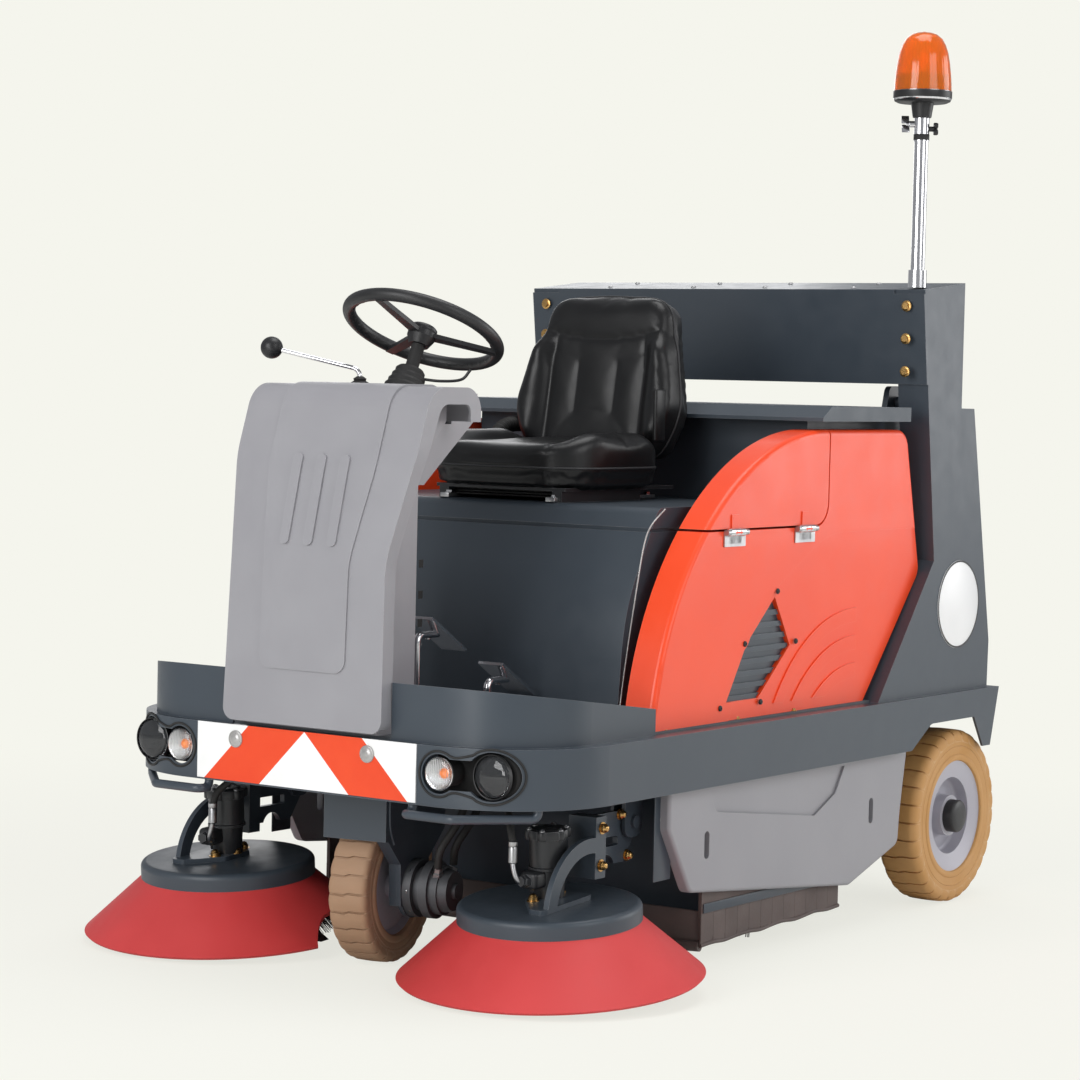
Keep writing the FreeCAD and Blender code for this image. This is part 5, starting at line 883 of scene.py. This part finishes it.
def back_relief(co):
    """How far the front of the back rises, and whether a stitch runs there."""
    forward, across, up = back_frame(co)
    if forward < 0.012:
        return 0.0, False
    side = abs(across)
    wing = 0.126 - 0.12 * max(up - 0.20, 0)
    lift = 0.026 * ramp(side, wing, wing + 0.04) * ramp(up, 0.0,
                                                        0.06) * (1 - ramp(up, 0.235, 0.29))
    crease = 0.266 + 0.9 * side * side
    stitch = abs(side - wing) < 0.004 and up < crease
    stitch = stitch or (abs(up - crease) < 0.0055 and side < 0.15)
    stitch = stitch or (abs(side - 0.052 - 0.1 * (up - 0.14) ** 2) < 0.0035 and 0.10 < up < 0.215)
    return lift, stitch


def cushion_relief(co):
    """How far the top of the cushion rises, and whether a stitch runs there."""
    side = abs(co.y)
    if co.z < 1.04:
        return 0.0, abs(co.z - 1.028) < 0.0035
    lift = 0.022 * ramp(side, 0.125, 0.175) * ramp(co.x, 0.0, 0.08) * (1 - ramp(co.x, 0.24, 0.34))
    lift -= 0.008 * hump(side, 0, 0.12) * ramp(co.x, 0.02, 0.2)
    stitch = abs(side - 0.130) < 0.004 and co.x > 0.03
    stitch = stitch or (abs(co.x - 0.250 + 0.5 * (side - 0.13) ** 2) < 0.004 and side < 0.13)
    return lift, stitch


def blown_pad(node, name, relief, push):
    """A copy of a plain pad with its relief, puffed up as cloth between the stitches."""
    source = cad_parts[node]
    pad = linked(name, source.data.copy())
    pad.data.transform(source.matrix_world)
    pick_out(pad)
    shaped(pad, "REMESH", mode="VOXEL", voxel_size=VOXEL)
    held = pad.vertex_groups.new(name="stitches")
    for vertex in pad.data.vertices:
        lift, stitch = relief(vertex.co)
        if stitch:
            held.add([vertex.index], 1.0, "REPLACE")
            lift -= STITCH_DEPTH
        vertex.co += Vector(push) * lift
    start = [vertex.co.copy() for vertex in pad.data.vertices]
    bpy.ops.object.modifier_add(type="CLOTH")
    cloth = pad.modifiers[0]
    cloth.settings.use_pressure = True
    cloth.settings.uniform_pressure_force = PRESSURE
    cloth.settings.effector_weights.gravity = 0
    cloth.settings.vertex_group_mass = "stitches"
    cloth.settings.quality = 4
    cloth.point_cache.frame_end = CLOTH_FRAMES
    for number in range(1, CLOTH_FRAMES + 1):
        bpy.context.scene.frame_set(number)
    bpy.ops.object.modifier_apply(modifier=cloth.name)
    bpy.context.scene.frame_set(1)
    for vertex, old in zip(pad.data.vertices, start):
        move = vertex.co - old
        if move.length > MOST_PUFF:
            vertex.co = old + move * (MOST_PUFF / move.length)
    shaped(pad, "SMOOTH", iterations=5)
    shaped(pad, "SUBSURF", levels=1)
    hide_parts(node)
    return dress(pad, seat_vinyl, 60)


back_pad = blown_pad("seat_back", "seat_back_pad", back_relief,
                     (math.cos(LEAN_BACK), 0, math.sin(LEAN_BACK)))
base_pad = blown_pad("seat_cushion", "seat_base_pad", cushion_relief, UP)
print("pads", len(back_pad.data.polygons), len(base_pad.data.polygons))

# %% [markdown]
# The cover is closed with piping: a thin cord in a strip of vinyl, sewn into the
# outer seam. Below the cushion sits a folded rubber bellows on steel rails.

# %% Piping, bellows and rails


def on_pad(pad, start, toward, lift=0.0):
    """The point where a ray meets a pad, raised a little."""
    hit, place, normal, _ = pad.ray_cast(Vector(start), Vector(toward).normalized())
    return place + normal * lift if hit else None


rim = []
for step in range(49):
    angle = 2 * math.pi * step / 48
    along = Vector((math.cos(angle), 1.15 * math.sin(angle), 0)).normalized()
    outside = Vector((0.170, 0, 1.028)) + along * 0.6
    rim.append(on_pad(base_pad, outside, -along, 0.0005))
piping = hose("cushion_piping", [p for p in rim if p], 0.0026, 3, steps=3)
dress(piping, seat_piping, 60)
edge = []
up = Vector((-math.sin(LEAN_BACK), 0, math.cos(LEAN_BACK)))
for step in range(57):
    angle = math.radians(-52 + 284 * step / 56)
    along = (Vector(LEFT) * math.cos(angle) + up * math.sin(angle)).normalized()
    middle = Vector((-0.048, 0, 1.040)) + up * 0.19
    edge.append(on_pad(back_pad, middle + along * 0.5, -along, 0.0005))
piping = hose("back_piping", [p for p in edge if p], 0.0026, 3, steps=3)
dress(piping, seat_piping, 60)
folds = []
for number in range(4):
    folds.append(boxed("fold", (0.02, -0.155, 0.962 + 0.0062 * number),
                       (0.30, 0.155, 0.967 + 0.0062 * number), 0.0024, 3))
bellows = joined("seat_bellows", *folds)
dress(bellows, black_rubber, 40)
rails = repeated("seat_rails", boxed("rail", (-0.06, -0.012, 0.9555), (0.335, 0.012, 0.9655),
                                     0.0015), [moved((0, y, 0)) for y in (-0.140, 0.140)])
dress(rails, plain_steel, 30)
rail_bolts = repeated("seat_bolts", hex_bolt(0.006), on_places(
    [(x, y, 0.9655) for x in (-0.045, 0.318) for y in (-0.14, 0.14)]))
dress(rail_bolts, bright_steel, 30)
pouch = boxed("seat_pouch", (-0.012, 0.196, 1.085), (0.028, 0.206, 1.20), 0.004, 3)
dress(pouch, seat_vinyl, 50)

# %% [markdown]
# ## Steering wheel and levers
# The rim is soft plastic with finger grips moulded on its inner side. A domed
# cap hides the nut. The lever ends in a turned black ball, and a thin stalk for
# the horn and the turn signals grows out of the column.

# %% Grips, cap, stalk and ball
WHEEL_CENTRE = Vector((0.6084, 0, 1.3131))
COLUMN_LEAN = math.radians(25.5)
WHEEL_UP = Vector((-math.sin(COLUMN_LEAN), 0, math.cos(COLUMN_LEAN)))
wheel_turn = moved(WHEEL_CENTRE) @ facing(WHEEL_UP)
grip = turned("grip", "1 -13, 4.5 -11.5, 6.8 -6, 7.2 0, 6.8 6, 4.5 11.5, 1 13", 14)
grip.data.transform(spun(math.pi / 2, "X"))
grips = repeated("wheel_grips", grip, [
    wheel_turn @ spun(2 * math.pi * n / 32, "Z") @ moved((0.1545, 0, -0.004))
    for n in range(32)])
dress(grips, black_mould, 60, "steering_wheel")
fitted("horn_button", "27 -10, 30 -4, 29.5 3, 26 6.5, 21.5 7.5, 20.5 6.5, "
       "19.5 8.5, 12 11.5, 1 12.5", 40, WHEEL_CENTRE, WHEEL_UP, black_mould, 50, "steering_wheel")
stalk = hose("signal_stalk", mm("644 18 1212, 624 58 1208, 600 94 1212, 590 110 1232"), 0.0032, 3)
dress(stalk, black_mould, 60)
ball_steps = [(0.0235 * math.sin(math.pi * n / 16), -0.0235 * math.cos(math.pi * n / 16))
              for n in range(1, 16)]
fitted("lever_ball", [(0.001, -0.0235)] + ball_steps + [(0.001, 0.0235)], 32,
       (0.737, -0.300, 1.270), (0.55, -0.7, 0.2), black_mould, 60)
fitted("lever_boot", [(0.027, 0.0)]
       + [(0.0245 - 0.0025 * n + (0.002 if n % 2 else -0.002), 0.004 + 0.0042 * n)
          for n in range(6)] + [(0.0065, 0.03)], 28, (0.655, -0.128, 1.1842), UP, black_rubber, 60)

# %% [markdown]
# ## Beacon
# A ribbed amber hood over a black saucer. Inside, a dark drum carries the lamp
# and a bright dish that would turn round it. A wing screw and a black knob
# clamp the whole on its pole.

# %% Hood, drum, dish and clamp
POLE = Vector((-0.591, 0.511, 0))
HOOD_WALL = 0.0028
HOOD_RIBS = 48
fitted("beacon_saucer", "18.2 1832, 21.5 1834, 26.2 1866, 30 1866.5, 56 1866.5, "
       "63.5 1870, 67.2 1878, 67.2 1892.5, 65.5 1893.8, 62 1893.8, 60 1892, 1 1892", 56, POLE,
       UP, black_mould, 45)
outside = mm("65.5 1894, 64.8 1912, 63 1934, 60.2 1957, 56 1980, "
             "50 1998, 42 2012, 30 2022, 17 2026.2, 5 2027.2, 3.2 2028.5, 1 2028.8")
inside = [(max(radius - HOOD_WALL, 0.001), level - 0.002)
          for radius, level in reversed(outside[1:-2])]
hood = turned("beacon_hood", outside + inside + [(0.0627, 1.894)], 144, ring=True)
for vertex in hood.data.vertices:
    turn = math.atan2(vertex.co.y, vertex.co.x)
    if math.hypot(vertex.co.x, vertex.co.y) > 0.012 and 1.93 < vertex.co.z < 2.018:
        factor = 1 - 0.011 * (0.5 + 0.5 * math.cos(HOOD_RIBS * turn))
        vertex.co.x *= factor
        vertex.co.y *= factor
set_at(hood, POLE)
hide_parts("beacon_lens")
dress(hood, amber_lens, 60)
fitted("beacon_drum", "58.5 1892.5, 58.5 1929, 56.5 1931, 20 1931, 18 1936, 1 1936", 48, POLE, UP,
       black_mould, 45)
fitted("beacon_dish", "4 0, 14 2, 24 8, 31.5 18, 33 17.8, 25 6.5, 14 0.4, 4 -1.6", 40,
       POLE + Vector((-0.012, 0.020, 1.966)), (0.9, -0.2, 0.1), bright_steel, 60)
fitted("beacon_bulb", "6.5 1936, 6.5 1950, 9.5 1957, 11 1966, 9.5 1975, 5 1981, 1 1983", 24,
       POLE, UP, amber_bulb, 60)
ACROSS = Vector((0.573, -0.82, 0)).normalized()
wing = joined("wing_screw",
              turned("stem", "7.5 0, 7.5 12, 5 13, 5 20, 1 20", 20),
              boxed("wing_a", (-0.0018, 0.002, 0.012), (0.0018, 0.022, 0.030), 0.0014, 2),
              boxed("wing_b", (-0.0018, -0.022, 0.012), (0.0018, -0.002, 0.030), 0.0014, 2))
set_at(wing, POLE + Vector((0, 0, 1.818)) + ACROSS * 0.0165, ACROSS, 0.5)
dress(wing, bright_steel, 40)
knob = joined("star_knob", turned("stem", "6 -4, 6 12, 1 12", 16),
              *[set_at(turned("lobe", "5.5 10, 6.5 12, 6.5 18, 5 20.5, 1 21", 16),
                       (0.009 * math.cos(2.0944 * n), 0.009 * math.sin(2.0944 * n), 0))
                for n in range(3)])
set_at(knob, POLE + Vector((0, 0, 1.808)) - ACROSS * 0.0165, -ACROSS)
dress(knob, black_mould, 40)
fitted("pole_band", "18.1 1782, 18.1 1795, 17.6 1795.5, 16.5 1795.5, 16.5 1782", 40, POLE, UP,
       black_rubber, 45, ring=True)

# %% [markdown]
# ## Side brush heads
# The hydraulic motor that spins each brush is a casting with a bolted cap, a
# port block on its inner side and a bright pipe fitting. Its foot is bolted to
# the plate of the arm with plated dome nuts.

# %% Motor caps, ports and nuts
HEAD_X, HEAD_Y, HEAD_LEAN = 0.696, 0.42, math.radians(4.2)
HEADS = {}
for side, sign in SIDES:
    HEADS[side] = moved((HEAD_X, sign * HEAD_Y, 0)) @ spun(HEAD_LEAN, "Y")
    arm = "brush_arm_" + side
    ring = turned("motor_clamp_" + side,
                  "38.5 247, 40.5 248, 40.5 252.5, 38.5 253.5, 36 253.5, 36 247", 48, ring=True)
    dish = turned("cap", "42.5 310.5, 43.2 313, 43.2 322, 41.8 327.5, 30 327.8, "
                  "28.5 329.5, 27.5 330.2, 12 330.2, 10.5 329.2, 1 329.2", 48)
    ears = repeated("ears", turned("ear", "9.5 309, 10.5 311, 10.5 325.5, 9.5 327.5, 1 327.5", 20),
                    [spun(math.pi / 3 * n + 0.3, "Z") @ moved((0.0365, 0, 0))
                     for n in range(6)])
    port = boxed("port", (0.012, -0.026, 0.214), (0.066, 0.014, 0.250), 0.009, 4)
    neck = set_at(turned("neck", "12.5 0, 12.5 14, 10.5 16, 10.5 22, 1 22", 6),
                  (0.060, -0.006, 0.232), (0.95, -0.25 * sign, 0.1))
    rib_a = boxed("rib", (-0.045, -0.006, 0.190), (-0.024, 0.006, 0.246), 0.004, 3)
    rib_b = boxed("rib", (-0.006, -0.046, 0.190), (0.006, -0.024, 0.246), 0.004, 3)
    head = joined("motor_casting_" + side, dish, ears, ring, port, neck, rib_a, rib_b)
    head.data.transform(HEADS[side])
    dress(head, black_paint, 40, arm)
    screws = repeated("motor_screws_" + side, domed_screw(0.0058), [
        HEADS[side] @ spun(math.pi / 3 * n + 0.3, "Z") @ moved((0.0375, 0, 0.3275))
        for n in range(6)])
    dress(screws, plain_steel, 40, arm)
    nut = turned("nut", "12.5 0, 12.5 1.5, 9.5 1.6, 9.5 7.5, 8 9, 6.5 12.5, 4 14.5, 1 15", 18)
    foot = [HEADS[side] @ moved((x, y * sign, 0.1893))
            for x, y in ((0.048, -0.006), (-0.046, -0.006), (0.0, -0.024))]
    post = [moved((x, sign * 0.484, z)) @ spun(-sign * math.pi / 2, "X")
            for x, z in ((0.621, 0.323), (0.624, 0.248))]
    plate = [moved((x, sign * 0.446, z)) @ spun(-sign * math.pi / 2, "X")
             for x, z in ((0.473, 0.248), (0.500, 0.335), (0.570, 0.318))]
    nuts = repeated("brush_nuts_" + side, nut, foot + post + plate)
    dress(nuts, brass, 40, arm)
    pipe = hose("pipe_end_" + side,
                [(0.776, sign * 0.408, 0.222), (0.790, sign * 0.402, 0.226),
                 (0.796, sign * 0.396, 0.240), (0.796, sign * 0.390, 0.262)], 0.0052, 3)
    ferrule = set_at(turned("ferrule", "6.2 0, 9.2 2, 9.2 30, 8.2 33, 9.5 35, 9.5 43, 6.8 45", 24),
                     (0.796, sign * 0.390, 0.262))
    ends = joined("pipe_fitting_" + side, pipe, ferrule)
    dress(ends, plain_steel, 40, arm)
    supply = hose("brush_hose_" + side,
                  [(0.796, sign * 0.390, 0.300), (0.792, sign * 0.380, 0.330),
                   (0.760, sign * 0.350, 0.362), (0.700, sign * 0.300, 0.378),
                   (0.620, sign * 0.290, 0.372)], 0.0075, 4)
    dress(supply, black_rubber, 60, None)
    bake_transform(supply)

# %% [markdown]
# ## Bristles
# A broom is set with tufts: bunches of nylon pushed into holes in rows. One
# tuft is modelled as tapered strands and copied; the side brushes splay out
# under their skirts, the main broom carries spiral rows.

# %% Tufts


def strand(length, lean, swing):
    """A thin four-sided bristle from the origin along Z, bent sideways at its end."""
    piece = turned("strand", [(0.0013, 0), (0.0011, length * 0.5), (0.0007, length)], 4)
    for vertex in piece.data.vertices:
        share = vertex.co.z / length
        vertex.co.x += lean * share * share
        vertex.co.y += swing * share * share
    return piece


tuft = joined("tuft", *[set_at(strand(0.138, 0.0, 0.002),
                               (0.005 * math.cos(n * 1.26), 0.005 * math.sin(n * 1.26), 0),
                               (0.62 + random.uniform(-0.06, 0.06), random.uniform(-0.07, 0.07),
                                -0.72)) for n in range(7)])
for side in ("left", "right"):
    ring_moves = [HEADS[side] @ spun(math.tau * n / 40 + 0.02 * row, "Z")
                  @ moved((0.115 + 0.022 * row, 0, 0.134 - 0.002 * row)) for n in range(40)
                  for row in (0, 1)]
    tufts = repeated("side_bristles_" + side, twin(tuft, "tuft_copy"), ring_moves)
    dress(tufts, bristle_nylon, 60, "side_brush_" + side)
bpy.data.objects.remove(tuft)
BROOM = Vector((-0.035, 0, 0.196))
row_tuft = joined("row_tuft", *[set_at(strand(0.096, 0.004, 0.0),
                                       (0.004 * math.cos(n * 1.26), 0.004 * math.sin(n * 1.26),
                                        0.0)) for n in range(5)])
moves = []
for row in range(10):
    for place in range(44):
        y = -0.452 + 0.904 * place / 43
        angle = math.tau * row / 10 + 1.1 * y
        moves.append(moved(BROOM + Vector((0, y, 0))) @ spun(angle, "Y")
                     @ moved((0, 0, 0.089)))
rows = repeated("broom_bristles", row_tuft, moves)
core = turned("core", "89.5 -462.5, 90.5 -460, 90.5 460, 89.5 462.5, 22 462.5, 22 -462.5", 48,
              ring=True)
set_at(core, BROOM, LEFT)
broom = joined("broom_bristles", rows, core)
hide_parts("main_broom")
dress(broom, bristle_nylon, 60, "main_broom")
print("bristle faces", len(broom.data.polygons))

# %% [markdown]
# ## Screws, sleeves and signs on the left and right sides
# The side doors are held by black screws, the hinges turn in bright sleeves and
# plated bolts hold the deck and the portal. The round white sign is blank.

# %% Small parts that repeat on both sides


def both_sides(name, sample, places, material, toward=LEFT):
    """Copies on the left at the given places, and their mirror images on the right."""
    left = repeated(name, sample, on_places(places, toward))
    whole = joined(name, left, mirrored(left, name + "_twin"))
    return dress(whole, material, 40)


COVER_SKIN = 0.5222
LOUVRE_CORNERS = ((0.022, 0.774), (0.152, 0.668), (-0.060, 0.662), (0.246, 0.538), (0.082, 0.540))
HINGES = (0.206, -0.086)
SIGN_PLACE = (-0.774, 0.5462, 0.710)
both_sides("louvre_screws", domed_screw(0.0062),
           [(x, COVER_SKIN, z) for x, z in LOUVRE_CORNERS], black_mould)
both_sides("deck_bolts", hex_bolt(0.006),
           mm("164 514.5 509, 452 514 509, -67 516.5 509"), brass, UP)
both_sides("portal_bolts", hex_bolt(0.0085),
           mm("-558.5 503 1402, -559 503 1327, -559.5 503 1252"), brass,
           AHEAD)
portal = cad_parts["portal_beam"]
tops = [portal.ray_cast(Vector((x, y, 1.6)), Vector((0, 0, -1)))[1] for x in (-0.60, -0.72)
        for y in (0.10, 0.34)]
both_sides("portal_screws", domed_screw(0.006), tops, plain_steel, UP)
sleeve = turned("sleeve", "8 -30, 9.2 -29, 9.2 -10.5, 8.4 -10, 8.4 -8, 9.2 -7.5, "
                "9.2 7.5, 8.4 8, 8.4 10, 9.2 10.5, 9.2 29, 8 30", 28)
both_sides("hinge_sleeves", sleeve, [(x, 0.5260, 0.906) for x in HINGES], bright_steel, AHEAD)
leaf = boxed("leaf", (-0.026, -0.021, -0.0012), (0.026, 0.0, 0.0012), 0.0008, 1)
both_sides("hinge_leaves", leaf, [(x, 0.5238, 0.902) for x in HINGES], plain_steel)
both_sides("round_sign", turned("face", "103.5 0, 103.5 0.8, 102.5 1.4, 1 1.4", 72), [SIGN_PLACE],
           white_sheet)
rim_line = turned("rim_line", "103.2 1.3, 99 1.3, 99 1.9, 103.2 1.9", 72, ring=True)
both_sides("sign_ring", rim_line, [SIGN_PLACE], black_mould)
plate = boxed("front_strip", (0.398, 0.5035, 0.196), (0.462, 0.5065, 0.3845), 0.0012)
badge = set_at(turned("badge", "12.5 0, 12.5 1.2, 11.5 1.8, 10 1.2, 1 1.2", 32),
               (0.430, 0.5064, 0.323), LEFT)
plate = joined("front_strip", plate, mirrored(plate, "front_strip_twin"))
dress(plate, slate, 30)
badge = joined("blank_badge", badge, mirrored(badge, "badge_twin"))
dress(badge, grey_sheet, 40)

# %% [markdown]
# ## Slots, seams and edges
# A moulded cover shows slots where air or a tool goes in; their dark is painted
# shade, thin near-black plates on the surface. A thin pale edge where its lip
# catches the light is a painted highlight, a grey strip. The bead round the lamps
# follows the bent beam: its points are found by looking straight at the beam from
# ahead.

# %% Slots in painted shade and the lamp bead
# Each slot is a thin near-black plate on the console: painted shade where a real slot is dark
# inside.
slots = [boxed("slot", (0.896, 0.2286, z - 0.008), (0.910, 0.2298, z + 0.008), 0.0005, 1)
         for z in (0.850, 0.789, 0.733)]
notches = joined("console_notches", *slots)
dress(notches, gap_shade, 30)
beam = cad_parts["bumper_beam"]


def arc(middle, radius, start, stop):
    """Points round a lamp, one every ten degrees."""
    angles = [math.radians(a) for a in range(start, stop, 10)]
    return [(middle + radius * math.cos(a), radius * math.sin(a)) for a in angles]


def beam_face(y, z):
    """The beam's outer face at a place seen from ahead."""
    hit, place, normal, _ = beam.ray_cast(Vector((1.3, y, z)), Vector((-1, 0, 0)))
    return place + normal * 0.0012 if hit else None


for side, sign in SIDES:
    loop = (arc(INDICATOR_Y, 0.0445, 55, 306) + [(0.372, -0.034)]
            + arc(HEADLAMP_Y, 0.0535, -130, 131) + [(0.372, 0.034)])
    points = [beam_face(sign * y, LAMP_Z + z) for y, z in loop]
    points = [p for p in points if p and p.x > 0.86]
    bead = hose("lamp_bead_" + side, points + [points[0]], 0.0024, 3, steps=3)
    dress(bead, black_rubber, 60)

# %% [markdown]
# ## Air hose, pedals and skirts
# The intake hose is a corrugated rubber bellows between tank and engine cover.
# Pedal pads are pressed plate with round studs. Rubber skirts hang below the
# broom covers behind a painted clamping strip.

# %% Corrugated hose
folds = hose("intake_folds", mm("-222 -300 1111, -170 -300 1111, -110 -300 1105, "
                                "-72 -300 1075, -70 -300 1010, -70 -300 956"),
             0.0185, 6, ribs=26, depth=0.2)
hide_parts("intake_hose")
dress(folds, black_rubber, 50)
clip = turned("clip", "19.5 -4, 20.2 -4, 20.2 4, 19.5 4", 32, ring=True)
clips = repeated("hose_clips", clip, on_places([(-0.208, -0.300, 1.111)], AHEAD)
                 + on_places([(-0.070, -0.300, 0.966)]))
dress(clips, plain_steel, 40)
print("hose faces", len(folds.data.polygons))

# %% Studs on the pedals, hem on the skirts
stud = turned("stud", "5.5 0, 5.5 1.2, 4.2 2.4, 2.2 2.7, 1 1.6", 14)
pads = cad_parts["pedals"]
DOWN_ON_PAD = Vector((-0.86, 0, -0.51))
spots = []
for middle in (Vector((0.671, 0.100, 0.691)), Vector((0.562, 0.200, 0.598))):
    for row in range(-2, 3):
        for place in (-1, 0, 1):
            aim = middle + Vector((-0.51 * 0.024 * row, 0.018 * place, 0.86 * 0.024 * row))
            for side_of_pad in (1, -1):
                look = DOWN_ON_PAD * side_of_pad
                hit, point, normal, _ = pads.ray_cast(aim - look * 0.05, look, distance=0.06)
                if hit:
                    spots.append(moved(point) @ facing(normal))
studs = repeated("pedal_studs", stud, spots)
dress(studs, bright_steel, 40)
hem = []
for number in range(13):
    x = 0.268 - 0.582 * number / 12
    low = 0.036 + 0.012 * number / 12 + 0.002 * math.sin(2.1 * number)
    hem.append((x, 0.5005 + 0.0016 * math.sin(1.7 * number), low))
flap = []
for (xa, ya, za), (xb, yb, zb) in zip(hem, hem[1:]):
    piece = boxed("flap", (xb, 0.4985, (za + zb) / 2), (xa, 0.5035, 0.105), 0.0012, 1)
    flap.append(piece)
lip = hose("hem", [(x, y + 0.001, z + 0.002) for x, y, z in hem], 0.0045, 3, steps=3)
skirt = joined("skirt_hem", *flap, lip)
skirt = joined("skirt_hem", skirt, mirrored(skirt, "skirt_hem_twin"))
dress(skirt, brown_rubber, 40)
front_lip = hose("front_lip", mm("262 -455 40, 268 -200 34, 266 100 36, 270 350 31, 262 497 36"),
                 0.0115, 4)
front_flap = boxed("front_flap", (0.258, -0.490, 0.034), (0.263, 0.498, 0.110), 0.0012, 1)
dress(joined("front_lip", front_lip, front_flap), brown_rubber, 50)
# A pale grey strip down the engine cover's front edge: a painted highlight where the lip catches
# the light.
edge_highlight = hose("cover_edge",
                  mm("318 420.5 952, 372 421.2 918, 396 421.2 880, "
                     "418 421.2 800, 444 421.2 690, 466 421.2 585, 476 421.2 525"), 0.0017, 3)
dress(edge_highlight, grey_sheet, 60)
strip = boxed("clamp_strip", (-0.305, 0.5032, 0.106), (0.262, 0.5062, 0.126), 0.001)
strip = joined("clamp_strip", strip, mirrored(strip, "clamp_twin"))
dress(strip, slate, 30)
print("studs", len(spots))

# %% [markdown]
# ## Drive unit
# The front wheel carries its own hydraulic motor. Flange screws, two pressure
# hoses laid out for the parked steering, and a weld bead down the fork's edge make it.

# %% Flange screws, hoses and weld
steer = moved((0.675, 0, 0)) @ spun(PARKED, "Z")
screws = repeated("drive_screws", hex_bolt(0.0055), [
    steer @ moved((0, 0.0625, 0.160)) @ spun(math.radians(-90), "X")
    @ spun(math.tau * n / 8, "Z") @ moved((0.0525, 0, 0)) for n in range(8)])
dress(screws, bright_steel, 40, "fork")
ports = []
for z, x in ((0.196, 0.030), (0.188, -0.030)):
    ports.append(set_at(turned("port", "12.5 -12, 12.5 6, 10 8, 10 18, 1 18", 6), (x, 0.118, z),
                        (0.3 * (1 if x > 0 else -1), 0.3, 0.9)))
fittings = joined("drive_ports", *ports)
fittings.data.transform(steer)
dress(fittings, plain_steel, 30, "fork")
for number, (x, y) in enumerate(((0.036, 0.122), (-0.036, 0.122))):
    low = steer @ Vector((x, y, 0.210))
    steps = mm("0 0 0, 4 10 40, -20 30 90, -55 30 135, -100 10 165")
    path = [low + Vector(step) for step in steps]
    pipe = hose("drive_hose_%d" % number, path, 0.0082, 4)
    dress(pipe, black_rubber, 60, None)
    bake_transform(pipe)
weld = mm("120 53.5 405, 121 53.5 360, 118 53.5 300, 100 53.5 262")
bead = hose("fork_weld", [steer @ Vector(p) for p in weld], 0.0034, 3, ribs=34, depth=0.25)
dress(bead, slate, 60, "fork")

# %% [markdown]
# ## The back of the machine
# Nothing of the back is in the photograph; it follows the usual make of such
# machines: pressed ribs stiffen the hopper's rear wall, and each tail lamp has
# three fields between dark bars.

# %% Hopper ribs and lamp fields
hopper_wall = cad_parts["hopper"]
into_hopper = hopper_wall.matrix_world.inverted()


def on_hopper(y, z):
    """The place on the hopper's rear wall at a height."""
    start = into_hopper @ Vector((-1.2, y, z))
    hit, place, normal, _ = hopper_wall.ray_cast(start, into_hopper.to_3x3() @ Vector((1, 0, 0)))
    return hopper_wall.matrix_world @ place if hit else None


ribs = []
for y in (-0.36, -0.12, 0.12, 0.36):
    path = [p for p in (on_hopper(y, 0.36 + 0.04 * n) for n in range(18)) if p]
    ribs.append(hose("rib", path, 0.006, 3, steps=2))
hopper_ribs = joined("hopper_ribs", *ribs)
dress(hopper_ribs, slate, 40, "hopper")
frames = []
fields = []
for sign in (1, -1):
    for n in range(3):
        z = 1.2085 + 0.0485 * n
        fields.append(boxed("field", (-0.7905, sign * 0.507 - 0.0185, z),
                            (-0.786, sign * 0.507 + 0.0185, z + 0.0405), 0.0022, 3))
        frames.append(boxed("frame", (-0.7885, sign * 0.507 - 0.0218, z - 0.0055),
                            (-0.787, sign * 0.507 + 0.0218, z), 0.0006, 1))
dress(joined("lamp_fields", *fields), red_lamp, 40)
dress(joined("lamp_bars", *frames), black_mould, 40)
